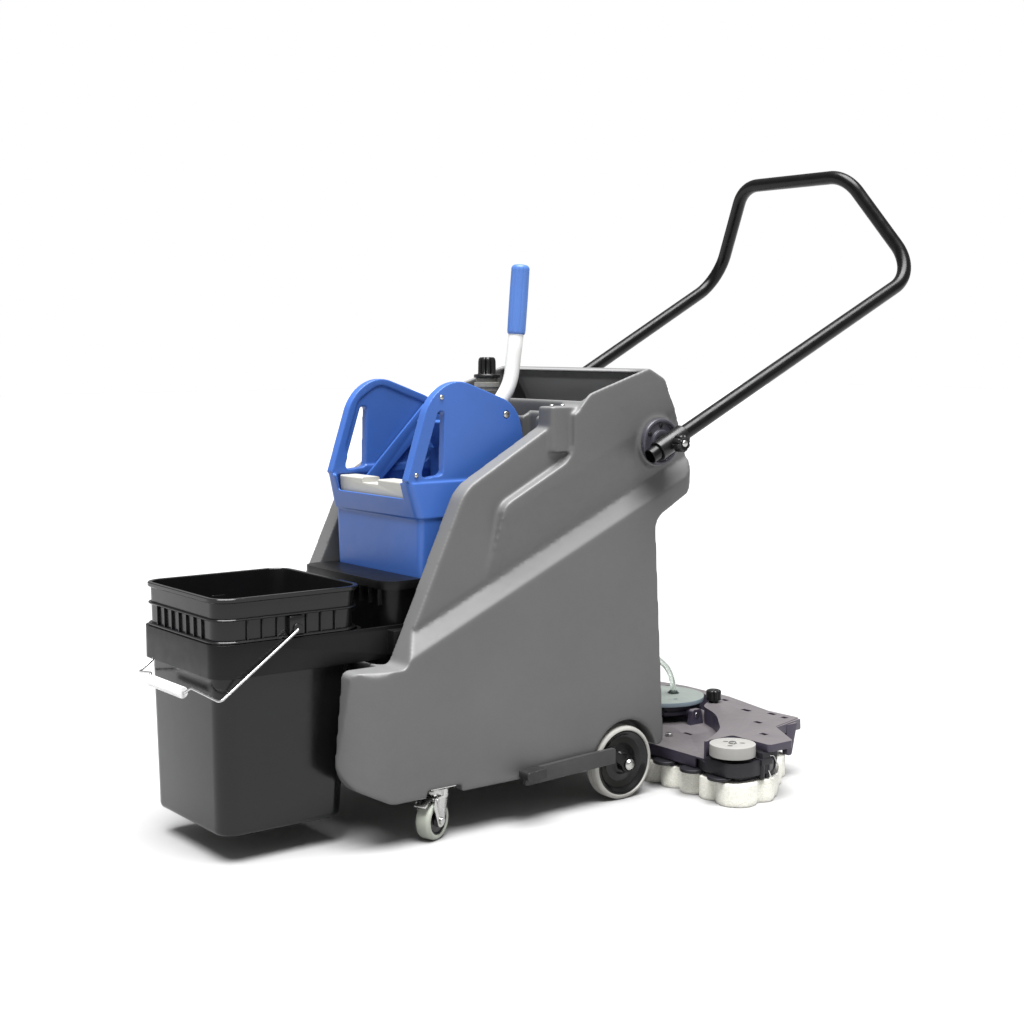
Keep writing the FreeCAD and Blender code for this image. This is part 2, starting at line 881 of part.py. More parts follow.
def basket():
    """Blue box of the wringer, with a slotted floor and a wider collar."""
    low = (basket_front_x, basket_back_x, basket_half_y, basket_floor_z)
    high = (basket_front_x - 2, basket_back_x + 2, basket_half_y + 1, collar_z)
    outer, inner = pail_shell(low, high, 10, 4)
    collar = tapered_box(
        (basket_front_x - 6, basket_back_x + 4, 131, collar_z),
        (-384, basket_back_x + 6, 126, 556),
        12,
    )
    throat = tapered_box(
        (basket_front_x - 2, basket_back_x - 2, basket_half_y - 3, collar_z - 1),
        (-380, basket_back_x - 1, 105.5, 560),
        8,
    )
    slots = [
        box(x, x + 8, -100, 100, basket_floor_z - 1, basket_floor_z + 6)
        for x in range(-345, -185, 22)
    ]
    body = fuse([outer, collar]).cut(inner).cut(throat)
    dip = box(-400, -360, -98, 98, 530, 600)
    return body.cut(union_of_solids(slots)).cut(dip).removeSplitter()


def cheek_outline():
    return (
        (-386, 556.3, 4),
        (-343, 688, 78),
        (-292, 721, 60),
        (-168, 676, 78),
        (-152, 614, 94),
        (-162, 556.3, 4),
    )


def cheek():
    """Left side cheek with its open triangular window."""
    panel = side_prism(cheek_outline(), -cheek_out_y, -cheek_in_y)
    window = side_prism(((-360, 562, 7), (-317, 566, 7), (-313, 668, 5), (-325, 668, 5)), -140, -90)
    bore = rod((press_x, -140, press_z), (press_x, -90, press_z), 6.06)
    return panel.cut(window).cut(bore)


def cheek_screws():
    screws = []
    for side in (-1, 1):
        for x, z in ((-319, 690), (-368, 556 + 12)):
            screws.append(on_side(rod((x, -cheek_out_y, z), (x, -cheek_out_y - 2.5, z), 4), side))
    return union_of_solids(screws)


def back_plate():
    """Curved fixed plate that the mop is pressed against."""
    low = box(-184, -176, -cheek_in_y, cheek_in_y, 470, 594)
    high = side_prism(
        (
            (-184, 580, 0), (-176, 580, 0), (-176, 600, 20), (-214, 646, 2),
            (-220, 641, 2), (-184, 597, 16),
        ),
        -back_plate_half_y, back_plate_half_y,
    )
    foot = box(-184, basket_back_x - 4, -96, 96, 470, 482)
    return fuse([low, high, foot])


def press_shaft():
    return rod((press_x, -cheek_out_y - 1, press_z), (press_x, cheek_out_y + 1, press_z), 6)


def press_arms():
    """White arms from the shaft to the press plate."""
    arms = []
    for side in (-1, 1):
        arm = side_prism(
            (
                (-176, 668, 10), (-198, 672, 10), (-362, 508, 8), (-354, 488, 6), (-340, 496, 6),
                (-178, 648, 10),
            ),
            -cheek_in_y + 1, -arm_in_y,
        )
        bore = rod((press_x, -140, press_z), (press_x, -60, press_z), 6)
        arms.append(on_side(arm.cut(bore).cut(press_plate()), side))
    return union_of_solids(arms)


def press_plate():
    """White squeeze plate with drain holes and a hand notch."""
    head = side_prism(((-368, 526, 3), (-370, 555, 3), (-336, 555, 3), (-336, 526, 3)), -104, 104)
    blade = side_prism(((-358, 484, 3), (-358, 528, 0), (-342, 528, 0), (-348, 484, 3)), -100, 100)
    notch = box(-380, -330, -14, 34, 546, 560)
    holes = [
        rod((-380, y, z), (-330, y, z), 4)
        for y in range(-80, 81, 20)
        for z in (496, 514)
    ]
    return head.fuse(blade).cut(notch).cut(union_of_solids(holes)).removeSplitter()


def lever_tube():
    """Bent lever tube standing up from the shaft."""
    hub = rod((press_x, lever_y - 9, press_z), (press_x, lever_y + 9, press_z), 15)
    tube = bent_tube(
        ((press_x, lever_y, press_z), (-152, lever_y, 708), (-140, lever_y, 790), (-135, lever_y, 850)),
        lever_tube_r, 80,
    )
    bore = rod((press_x, -140, press_z), (press_x, -60, press_z), 6)
    return hub.fuse(tube).cut(bore).removeSplitter()


def lever_grip():
    grip = rod((-140, lever_y, 790), (-130.4, lever_y, 905), 15.5)
    return grip.cut(lever_tube())


# ---- scrub deck ----

def deck_outline(grow=0.0):
    """Plan of the plate: a shallow trapezoid with two necks over the end posts."""
    front = deck_front_x - grow
    half = (
        (front, 283 + grow, 0), (180 - grow, 283 + grow, 6), (180 - grow, 371 + grow, 8),
        (236 + grow, 371 + grow, 8), (286 + grow, 284 + grow, 10), (370 + grow, 262 + grow, 6),
        (366 + grow, 190, 20), (394 + grow, 60, 30),
    )
    left = tuple((x, -y, r) for x, y, r in half)
    return left + tuple(reversed(half))


def well_outline(grow=0.0):
    """Plan of the sunk front area, round behind the disc housing."""
    front = deck_front_x - 20
    half = (
        (front, 283 + grow, 0), (118, 283 + grow, 10), (196 + grow, 238 + grow, 150),
        (270 + grow, 152 + grow, 200), (296 + grow, 90 + grow, 50), (well_back_x + grow, 44, 30),
    )
    left = tuple((x, -y, r) for x, y, r in half)
    return left + tuple(reversed(half))


def deck_slots():
    """Slots through the plate: x, y and half length for the left side."""
    places = (
        (365, 78, 7), (336, 163, 10), (352, 212, 8), (349, 246, 6), (284, 243, 8), (229, 310, 7),
    )
    slots = []
    for x, y, half in places:
        slot = box(x - 5, x + 5, -y - half, -y + half, deck_top_z - 20, deck_top_z + 20)
        slots += [slot, mirrored(slot)]
    ledge_slot = box(209, 217, -147, -127, deck_ledge_z - 10, deck_ledge_z + 10)
    slots += [ledge_slot, mirrored(ledge_slot)]
    return union_of_solids(slots)


def deck_shell():
    """Pressed plate with a short skirt, a sunk ledge in front and legs behind."""
    under = deck_top_z - deck_plate_thick
    plate = plan_prism(deck_outline(), deck_top_z - deck_skirt, deck_top_z)
    plate = plate.cut(plan_prism(deck_outline(-3.0), deck_top_z - deck_skirt - 1, under))
    well = plan_prism(well_outline(), deck_ledge_z, deck_top_z + 10)
    plate = plate.cut(plan_prism(well_outline(), 0, deck_top_z + 10))
    well_wall = plan_prism(well_outline(4.0), deck_ledge_z - 3, deck_top_z).cut(well)
    front_cut = box(0, deck_front_x, -400, 400, 0, 200)
    lip = box(deck_front_x, deck_front_x + 3, -262, 262, 50, deck_ledge_z)
    shell = fuse([plate, well_wall.cut(front_cut), lip]).cut(deck_slots())
    return fuse([shell] + deck_legs() + trunnion_blocks()).removeSplitter()


def deck_legs():
    """Sloping end flap and tapered prongs below each rear corner."""
    top = deck_top_z - 1
    flap = side_prism(((0, top, 0), (82, top, 0), (84, 80, 3), (14, 84, 3)), -3, 12)
    flap.rotate(V(0, 0, 0), V(0, 0, 1), 13)
    flap.translate(V(286, -284, 0))
    prong = side_prism(((318, top - 2, 0), (346, top - 2, 0), (333, pad_top_z + 0.4, 4), (322, pad_top_z + 0.4, 4)), -280, -268)
    stub = side_prism(((296, top - 2, 0), (316, top - 2, 0), (312, 62, 3), (304, 62, 3)), -281, -270)
    legs = [flap, prong, stub]
    return legs + [mirrored(leg) for leg in legs]


def trunnion_blocks():
    blocks = []
    for side in (-1, 1):
        block = side_prism(
            ((disc_x - 16, deck_ledge_z, 0), (disc_x - 11, 97, 6), (disc_x + 11, 97, 6), (disc_x + 16, deck_ledge_z, 0)),
            -94, -84,
        )
        bore = rod((disc_x, -120, trunnion_z), (disc_x, -80, trunnion_z), trunnion_r + 0.05)
        blocks.append(on_side(block.cut(bore), side))
    return blocks


def disc_housing():
    """Dark drum under the pale disc, clamped to the lift arms."""
    under_disc = disc_top_z - 8
    drum = disc_z(disc_x, 0, 84, under_disc, 72).fuse(disc_z(disc_x, 0, 77, 84, 50))
    groove = disc_z(disc_x, 0, 90, 94, 90).cut(disc_z(disc_x, 0, 89, 95, 68))
    drum = drum.cut(groove)
    collars = rod((disc_x, -82, trunnion_z), (disc_x, 82, trunnion_z), 9)
    collars = collars.cut(disc_z(disc_x, 0, 70, 100, 60))
    sockets = [
        box(150, arm_end_x + 0.1, s * arm_y - 3.1, s * arm_y + 3.1, 70, arm_top_z + 0.1)
        for s in (-1, 1)
    ]
    pin_bore = rod((disc_x, -90, trunnion_z), (disc_x, 90, trunnion_z), trunnion_r)
    return drum.fuse(collars).cut(union_of_solids(sockets)).cut(pin_bore).removeSplitter()


def trunnion_pins():
    pins = []
    for side in (-1, 1):
        pin = rod((disc_x, -56, trunnion_z), (disc_x, -95, trunnion_z), trunnion_r)
        pins.append(on_side(pin, side))
    return union_of_solids(pins)


def swivel_disc():
    """Pale top disc with three spanner holes and a centre hole for the boot."""
    disc = disc_z(disc_x, 0, disc_top_z - 8, disc_top_z, disc_r)
    holes = [disc_z(boot_x, boot_y, 90, 120, 12)]
    for i in range(3):
        angle = math.radians(20 + 120 * i)
        holes.append(disc_z(disc_x + 44 * math.cos(angle), 44 * math.sin(angle), disc_top_z - 3, 120, 4))
    return disc.cut(union_of_solids(holes))


def tube_boot():
    boot = Part.makeCone(12, 8, 12, V(boot_x, boot_y, disc_top_z - 8))
    return boot.cut(disc_z(boot_x, boot_y, 90, 130, 5.6))


def roller_bracket():
    """Black arm that carries the left bumper roller."""
    arm = plan_prism(
        (
            (roller_x - 32, -roller_y - 30, 26), (roller_x - 32, -290, 10), (118, -262, 6),
            (214, -262, 6), (216, -348, 10), (186, -364, 8), (roller_x + 10, -roller_y - 40, 30),
        ),
        50, 66,
    )
    rim = plan_prism(
        (
            (roller_x - 32, -roller_y - 30, 26), (roller_x - 32, -roller_y + 37, 10),
            (200, -roller_y + 37, 10), (206, -350, 10), (186, -364, 8),
            (roller_x + 10, -roller_y - 40, 30),
        ),
        66, 74,
    )
    hub = disc_z(roller_x, -roller_y, 60, roller_low_z - 0.3, 12)
    bore = disc_z(roller_x, -roller_y, 40, 120, 5)
    return fuse([arm, rim, hub]).cut(bore).cut(deck_post()).removeSplitter()


def bumper_roller():
    roller = disc_z(roller_x, -roller_y, roller_low_z, roller_top_z, roller_r)
    holes = [disc_z(roller_x, -roller_y, 60, 120, 5.06)]
    for i in range(3):
        angle = math.radians(90 + 120 * i)
        x = roller_x + 17 * math.cos(angle)
        y = -roller_y + 17 * math.sin(angle)
        holes.append(disc_z(x, y, 90, 120, 4.5))
    return roller.cut(union_of_solids(holes))


def roller_bolt():
    head = disc_z(roller_x, -roller_y, roller_top_z + 0.3, roller_top_z + 3, 8)
    return head.fuse(disc_z(roller_x, -roller_y, 50, roller_top_z + 1, 5)).removeSplitter()


def deck_post():
    """Ribbed black post at the left end, beside the roller."""
    posts = [
        disc_z(post_x, -363, 42, 66, 5),
        disc_z(post_x + 16, -360, 42, 66, 5),
        box(post_x - 5, post_x + 21, -368, -350, 66, 76),
        box(post_x - 1, post_x + 17, -366, -352, 76, 86),
    ]
    return fuse(posts).cut(spring_clip())


def spring_clip():
    """Thin wire loop at the outer end of the left post."""
    route = (
        (184, -358, 80), (200, -362, 77), (206, -367, 58), (200, -370, 46), (187, -369, 43), (181, -368, 56),
    )
    return bent_tube(route, 1.0, 4)


def deck_base():
    """Black pad carrier under the shell."""
    return plan_prism(
        (
            (124, -352, 16), (214, -352, 20), (330, -250, 30), (362, -90, 60),
            (362, 90, 60), (330, 250, 30), (214, 352, 20), (124, 352, 16),
        ),
        pad_top_z + 0.2, 50,
    ).fuse(plan_prism(
        ((122, -262, 10), (200, -262, 10), (330, -180, 20), (350, 0, 60), (330, 180, 20), (200, 262, 10), (122, 262, 10)),
        49, deck_ledge_z - 3.2,
    )).removeSplitter()


def pad_buttons():
    """Round clips that hold the pad along the front edge."""
    buttons = []
    for y in (-322, -255, -187, -62, 62, 187, 255, 322):
        buttons.append(disc_z(112, y, 42, 48, 22).cut(box(124, 200, y - 40, y + 40, 30, 60)))
    return union_of_solids(buttons)


def scrub_pad():
    """Thick pad whose front and ends are cut in scallops."""
    pad = plan_prism(
        (
            (128, -352, 24), (214, -356, 24), (330, -262, 30), (366, -90, 60),
            (366, 90, 60), (330, 262, 30), (214, 356, 24), (128, 352, 24),
        ),
        0, pad_top_z,
    )
    lobes = []
    for i in range(-6, 7):
        lobes.append(disc_z(132, i * 48.0, 0, pad_top_z, 26))
    for side in (-1, 1):
        lobes.append(disc_z(138, side * 336, 0, pad_top_z, 35))
        for i in range(4):
            lobes.append(disc_z(186 + 42 * i, side * (342 - 31 * i), 0, pad_top_z, 26))
    return fuse([pad] + lobes)


def deck_knob():
    """Black hand knob that clamps the pad carrier."""
    x = 336.0
    y = -77.0
    knob = disc_z(x, y, deck_top_z + 4, deck_top_z + 24, 14.5)
    collar = disc_z(x, y, deck_top_z + 0.1, deck_top_z + 4, 9)
    flutes = []
    for i in range(8):
        angle = math.radians(45 * i)
        flutes.append(disc_z(x + 16 * math.cos(angle), y + 16 * math.sin(angle), deck_top_z + 3, 130, 2.5))
    return knob.cut(union_of_solids(flutes)).fuse(collar).removeSplitter()


def underside_screws():
    screws = []
    for side in (-1, 1):
        for x in (-446, -150):
            screws.append(on_side(disc_z(x, -168, body_floor_z - 4, body_floor_z, 7), side))
    return union_of_solids(screws)


def body_screws():
    """Every screw head that holds something to the moulded body."""
    return union_of_solids([
        rim_screws(), flange_screws(), underside_screws(), ring_bolts(), caster_plate_bolts(),
    ])


# ---- assembly ----

def build_all():
    parts["tank_body"] = tank_body()
    parts["body_screws"] = body_screws()
    parts["filler_neck"] = filler_neck()
    parts["filler_cap"] = filler_cap()
    parts["hose_barb"] = hose_barb()
    parts["solution_tube"] = solution_tube()
    parts["handle_tube"] = handle_tube()
    parts["axle_shaft"] = axle_shaft()
    parts["axle_nuts"] = axle_nuts()
    parts["axle_brackets"] = union_of_solids([axle_bracket(), mirrored(axle_bracket())])
    parts["pedal_arm"] = pedal_arm()
    parts["pedal_crank"] = pedal_crank()
    parts["pedal_pad"] = pedal_pad()
    parts["lift_arms"] = lift_arms()
    parts["caster_plates"] = union_of_solids([caster_plate(-1), caster_plate(1)])
    parts["front_pail"] = front_pail()
    parts["bail_wire"] = bail_wire()
    parts["bail_grip"] = bail_grip()
    parts["holder_ring"] = holder_ring()
    parts["inner_pail"] = inner_pail()
    parts["wringer_basket"] = basket()
    parts["cheek_screws"] = cheek_screws()
    parts["back_plate"] = back_plate()
    parts["press_shaft"] = press_shaft()
    parts["press_arms"] = press_arms()
    parts["press_plate"] = press_plate()
    parts["lever_tube"] = lever_tube()
    parts["lever_grip"] = lever_grip()
    parts["deck_shell"] = deck_shell()
    parts["trunnion_pins"] = trunnion_pins()
    parts["disc_housing"] = disc_housing()
    parts["swivel_disc"] = swivel_disc()
    parts["tube_boot"] = tube_boot()
    parts["deck_base"] = deck_base()
    parts["pad_buttons"] = pad_buttons()
    parts["scrub_pad"] = scrub_pad()
    parts["deck_knob"] = deck_knob()
    parts["roller_brackets"] = union_of_solids([roller_bracket(), mirrored(roller_bracket())])
    parts["roller_bolts"] = union_of_solids([roller_bolt(), mirrored(roller_bolt())])
    parts["deck_posts"] = union_of_solids([deck_post(), mirrored(deck_post())])
    parts["spring_clips"] = union_of_solids([spring_clip(), mirrored(spring_clip())])
    parts["pivot_clamps"] = union_of_solids([pivot_clamp(), mirrored(pivot_clamp())])
    parts["pivot_pins"] = union_of_solids([pivot_pin(), mirrored(pivot_pin())])
    parts["handle_flanges"] = union_of_solids([handle_flange(), mirrored(handle_flange())])
    for name, side in SIDES:
        parts["wringer_cheek_" + name] = on_side(cheek(), side)
        parts["rear_tyre_" + name] = on_side(rear_tyre(), side)
        parts["rear_hub_" + name] = on_side(rear_hub(), side)
        parts["pivot_knob_" + name] = on_side(pivot_knob(), side)
        parts["bumper_roller_" + name] = on_side(bumper_roller(), side)
        fork = union_of_solids([caster_fork(), caster_axle()])
        wheel = union_of_solids([caster_core(), caster_tyre()])
        parts["caster_fork_" + name] = caster_frame(fork, side)
        parts["caster_wheel_" + name] = caster_frame(wheel, side)
        parts["caster_brake_" + name] = caster_frame(caster_brake(), side)


def middle_shift():
    """How far the pieces move along X to put the footprint's middle at the origin."""
    low = min(shape.BoundBox.XMin for shape in parts.values())
    high = max(shape.BoundBox.XMax for shape in parts.values())
    return -round((low + high) / 2, 1)


def export_all():
    os.makedirs("parts", exist_ok=True)
    for name, shape in parts.items():
        moved = shape.copy()
        moved.translate(V(shift_x, 0, 0))
        moved.exportStep("parts/" + name + ".step")


build_all()
shift_x = middle_shift()
export_all()
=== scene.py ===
import math

import bmesh
import bpy
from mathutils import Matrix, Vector


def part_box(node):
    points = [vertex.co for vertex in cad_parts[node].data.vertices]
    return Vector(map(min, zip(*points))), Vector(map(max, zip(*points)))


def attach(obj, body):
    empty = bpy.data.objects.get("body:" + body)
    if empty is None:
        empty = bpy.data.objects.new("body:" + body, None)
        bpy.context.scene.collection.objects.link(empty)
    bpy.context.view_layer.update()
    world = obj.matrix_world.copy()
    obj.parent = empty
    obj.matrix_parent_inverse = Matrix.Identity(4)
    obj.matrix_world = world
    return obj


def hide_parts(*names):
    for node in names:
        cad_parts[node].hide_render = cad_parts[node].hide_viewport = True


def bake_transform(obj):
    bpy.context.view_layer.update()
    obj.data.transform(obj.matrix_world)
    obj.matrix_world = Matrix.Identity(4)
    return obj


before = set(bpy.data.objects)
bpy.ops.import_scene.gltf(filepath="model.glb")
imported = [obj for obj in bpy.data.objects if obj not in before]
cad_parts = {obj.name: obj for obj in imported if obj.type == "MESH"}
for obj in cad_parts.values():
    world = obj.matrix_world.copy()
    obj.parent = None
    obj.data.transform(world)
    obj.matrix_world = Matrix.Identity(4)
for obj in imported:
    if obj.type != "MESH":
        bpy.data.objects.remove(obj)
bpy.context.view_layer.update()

# The push floor-scrubbing cart. Sizes below are millimetres measured from the rear axle (x), the
# middle of the cart (y) and the floor (z); at() turns them into the row frame's metres.
MM = 0.001
tyre_low, tyre_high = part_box("rear_tyre_left")
AXLE_X = (tyre_low.x + tyre_high.x) / 2
SIDES = (("left", -1), ("right", 1))

REAR_WHEEL_R, REAR_WHEEL_MID_Y, REAR_WHEEL_HALF = 63.5, 190.5, 14.5
AXLE_LEFT, AXLE_RIGHT, RIGHT_NUT = -218.0, 213.0, 6.5
HANDLE_X, HANDLE_Z, HANDLE_PIVOT_Y = 72.0, 609.0, 234.0
HANDLE_BEND = (667.0, 262.0, 907.0)
HANDLE_BAR = (611.0, 135.0, 1091.0)
HANDLE_TUBE_R, HANDLE_BORE, HANDLE_BEND_R, HANDLE_STUB = 12.7, 10.7, 73.0, 44.0
FLANGE_Y, FLANGE_SCREW_Y, FLANGE_SCREW_R = 205.0, 210.0, 28.0
PIVOT_KNOB_Y = 253.0
LEVER_Y, LEVER_TUBE_R, GRIP_LENGTH = -84.0, 12.5, 115.4
PRESS_X, PRESS_Z = -189.0, 659.0
CHEEK_IN, CHEEK_OUT, CHEEK_RECESS = 106.0, 123.0, 2.5
CASTER_X, CASTER_Y, CASTER_TRAIL, CASTER_R = -372.0, 182.0, 15.0, 31.75
CASTER_YAW = {-1: 23.0, 1: -14.0}
CASTER_PLATE_LOW = 81.5
ROLLER_X, ROLLER_Y, ROLLER_TOP = 137.0, 326.0, 101.0
DECK_TOP = 100.0
LEDGE_BOLT = (174.0, 129.0, 69.0)
BOOT_X, BOOT_Y, BOOT_LOW = 303.0, -1.0, 101.0
KNOB_X, KNOB_Y = 336.0, -77.0
OUTLET_X, OUTLET_Z = 84.0, 205.0
HOSE_R, HOSE_BORE, HOSE_BEND_R = 5.4, 4.2, 60.0
BAIL_X, BAIL_Y, BAIL_Z = -591.0, 139.0, 350.0
BAIL_GRIP_X, BAIL_GRIP_Z = -742.0, 258.0
FILLER_X, FILLER_Y, NECK_LOW, CAP_LOW = -106.0, 44.0, 693.0, 698.0
# centre of the painted light on the wall inside the tank's mouth
PAINTED_LIGHT_CENTRE = (150.0, 0.0, 700.0)
# the pail's foot and rim: front x, back x, half width and height
PAIL_LOW = (-713.0, -501.0, 119.0, 42.0)
PAIL_HIGH = (-718.5, -471.5, 126.0, 404.0)
PAIL_WALL = 2.8
RIB_PITCH, RIB_HALF, RIB_DEPTH = 25.0, 1.2, 5.0
CAMERA_AT, CAMERA_LENS = (-1.7380, -2.2218, 0.7776), 56.53
CAMERA_YAW, CAMERA_PITCH = 37.3246, 6.0416
KEY_WAY, KEY_STRENGTH, KEY_SPREAD = (-0.12, -0.16, 0.98), 10.0, 50
FILL_STRENGTH = 0.38

def at(x, y, z):
    return Vector((AXLE_X + x * MM, y * MM, z * MM))


# ---- mesh helpers ----

def add_object(name, bm):
    mesh = bpy.data.meshes.new(name)
    bm.to_mesh(mesh)
    bm.free()
    obj = bpy.data.objects.new(name, mesh)
    bpy.context.scene.collection.objects.link(obj)
    return obj


def bake_modifiers(obj):
    """Put the result of the object's modifiers into its mesh."""
    graph = bpy.context.evaluated_depsgraph_get()
    mesh = bpy.data.meshes.new_from_object(obj.evaluated_get(graph))
    obj.modifiers.clear()
    old = obj.data
    obj.data = mesh
    bpy.data.meshes.remove(old)
    return obj


def shade(obj, angle=38.0):
    obj.data.shade_smooth()
    obj.data.set_sharp_from_angle(angle=math.radians(angle))
    return obj


def bevel(obj, width, segments=3, angle=30.0):
    """Round the edges sharper than the angle; width in millimetres."""
    if width > 0:
        mod = obj.modifiers.new("bevel", "BEVEL")
        mod.width = width * MM
        mod.segments = segments
        mod.limit_method = "ANGLE"
        mod.angle_limit = math.radians(angle)
        mod.miter_outer = "MITER_ARC"
        bake_modifiers(obj)
    return shade(obj)


def cad_copy(node):
    """A clean copy of a CAD node's mesh, with its flat faces whole again."""
    bm = bmesh.new()
    bm.from_mesh(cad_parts[node].data)
    bmesh.ops.remove_doubles(bm, verts=bm.verts, dist=0.00001)
    bmesh.ops.dissolve_limit(bm, angle_limit=math.radians(0.4), verts=bm.verts, edges=bm.edges)
    return add_object(node + "_shape", bm)


def dressed(node, width, segments=3, angle=30.0):
    """The node's shape with its sharp edges rounded."""
    return bevel(cad_copy(node), width, segments, angle)


def moulded(node, voxel, rounds):
    """A moulded look: the copy's edges melt into soft radii."""
    return melt(cad_copy(node), voxel, rounds)


def melt(obj, voxel, rounds):
    """Remesh at the voxel size in millimetres, then relax the edges."""
    mod = obj.modifiers.new("voxels", "REMESH")
    mod.mode = "VOXEL"
    mod.voxel_size = voxel * MM
    mod.adaptivity = 0.0
    mod = obj.modifiers.new("soften", "SMOOTH")
    mod.factor = 0.5
    mod.iterations = rounds
    bake_modifiers(obj)
    obj.data.shade_smooth()
    return obj


def joined(name, objs):
    bm = bmesh.new()
    for o in objs:
        bm.from_mesh(o.data)
    for o in objs:
        bpy.data.objects.remove(o)
    return shade(add_object(name, bm))


def arc_points(before, corner, after, radius, steps):
    """Points of the fillet at a corner, for 2-D or 3-D vectors."""
    way_in = (before - corner).normalized()
    way_out = (after - corner).normalized()
    half = way_in.angle(way_out) / 2
    reach = min(radius / math.tan(half), 0.49 * (before - corner).length, 0.49 * (after - corner).length)
    radius = reach * math.tan(half)
    middle_way = (way_in + way_out).normalized()
    centre = corner + middle_way * (radius / math.sin(half))
    first = corner + way_in * reach - centre
    last = corner + way_out * reach - centre
    points = []
    sweep = first.angle(last)
    for i in range(steps + 1):
        t = i / steps
        mix = first * math.sin((1 - t) * sweep) + last * math.sin(t * sweep)
        points.append(centre + mix / math.sin(sweep))
    return points


def rounded_outline(points, steps=6):
    """Closed 2-D outline from (a, b, fillet) corners."""
    flat = [Vector((a, b, 0)) for a, b, _ in points]
    out = []
    for i, (_, _, radius) in enumerate(points):
        if radius <= 0:
            out.append(flat[i])
        else:
            out += arc_points(flat[i - 1], flat[i], flat[(i + 1) % len(flat)], radius, steps)
    return [(p.x, p.y) for p in out]


def rounded_path(points, radius, steps=10):
    """Open 3-D path in millimetres with its corners rounded."""
    route = [Vector(p) for p in points]
    out = [route[0]]
    for before, corner, after in zip(route, route[1:], route[2:]):
        out += arc_points(before, corner, after, radius, steps)
    return out + [route[-1]]


def frames_along(path):
    """Axes across a path that don't twist."""
    tangents = []
    for i in range(len(path)):
        a = path[max(i - 1, 0)]
        b = path[min(i + 1, len(path) - 1)]
        tangents.append((b - a).normalized())
    side = tangents[0].orthogonal().normalized()
    axes = []
    for t in tangents:
        side = (side - t * side.dot(t)).normalized()
        axes.append((side.copy(), t.cross(side)))
    return axes


def tube(name, path, radius, bore=0.0, sides=32, depth=40.0):
    """Round tube along a path in millimetres; a bored one has open ends."""
    bm = bmesh.new()
    axes = frames_along(path)

    def ring(centre, axis, r):
        u, v = axis
        loop = []
        for k in range(sides):
            a = 2 * math.pi * k / sides
            loop.append(bm.verts.new(at(*(centre + (u * math.cos(a) + v * math.sin(a)) * r))))
        return loop

    def bridge(a, b):
        for k in range(sides):
            bm.faces.new((a[k], a[(k + 1) % sides], b[(k + 1) % sides], b[k]))

    chamfer = min(0.6, radius * 0.2)
    tip = (path[0] - path[1]).normalized()
    tail = (path[-1] - path[-2]).normalized()
    rings = [ring(path[0], axes[0], radius - chamfer)]
    rings.append(ring(path[0] - tip * chamfer, axes[0], radius))
    rings += [ring(p, a, radius) for p, a in zip(path[1:-1], axes[1:-1])]
    rings.append(ring(path[-1] - tail * chamfer, axes[-1], radius))
    rings.append(ring(path[-1], axes[-1], radius - chamfer))
    for a, b in zip(rings, rings[1:]):
        bridge(a, b)
    for end, way, axis, outer, flip in (
        (path[0], tip, axes[0], rings[0], True), (path[-1], tail, axes[-1], rings[-1], False),
    ):
        if bore:
            lip = ring(end, axis, bore)
            deep = ring(end - way * depth, axis, bore)
            order = ((lip, outer), (deep, lip)) if flip else ((outer, lip), (lip, deep))
            for a, b in order:
                bridge(a, b)
            bm.faces.new(deep if not flip else list(reversed(deep)))
        else:
            bm.faces.new(list(reversed(outer)) if flip else outer)
    bmesh.ops.recalc_face_normals(bm, faces=bm.faces)
    return shade(add_object(name, bm))


def lathe(name, profile, centre, axis, segments=64, wave=None, closed=False):
    """Turn (along, radius) points in millimetres about an axis through centre."""
    bm = bmesh.new()
    way = Vector(axis).normalized()
    u = way.orthogonal().normalized()
    if abs(way.z) < 0.9:
        u = Vector((0, 0, 1)).cross(way).normalized()
    v = way.cross(u)
    rings = []
    for i, (along, radius) in enumerate(profile):
        base = Vector(centre) + way * along
        if radius <= 0:
            rings.append([bm.verts.new(at(*base))])
            continue
        loop = []
        for k in range(segments):
            a = 2 * math.pi * k / segments
            r = radius + (wave(i, k) if wave else 0.0)
            loop.append(bm.verts.new(at(*(base + (u * math.cos(a) + v * math.sin(a)) * r))))
        rings.append(loop)
    pairs = list(zip(rings, rings[1:]))
    if closed:
        pairs.append((rings[-1], rings[0]))
    for a, b in pairs:
        for k in range(segments):
            n = (k + 1) % segments
            if len(a) == 1 and len(b) == 1:
                continue
            if len(a) == 1:
                bm.faces.new((a[0], b[n], b[k]))
            elif len(b) == 1:
                bm.faces.new((a[k], a[n], b[0]))
            else:
                bm.faces.new((a[k], a[n], b[n], b[k]))
    if not closed:
        for loop in (rings[0], rings[-1]):
            if len(loop) > 1:
                bm.faces.new(loop)
    bmesh.ops.recalc_face_normals(bm, faces=bm.faces)
    return shade(add_object(name, bm))


def turned(points, steps=4):
    """Rounded lathe profile from (along, radius, fillet) corners, open at both ends."""
    flat = [Vector((a, r, 0)) for a, r, _ in points]
    out = [flat[0]]
    for i in range(1, len(flat) - 1):
        if points[i][2] > 0:
            out += arc_points(flat[i - 1], flat[i], flat[i + 1], points[i][2], steps)
        else:
            out.append(flat[i])
    out.append(flat[-1])
    return [(p.x, max(p.y, 0.0)) for p in out]


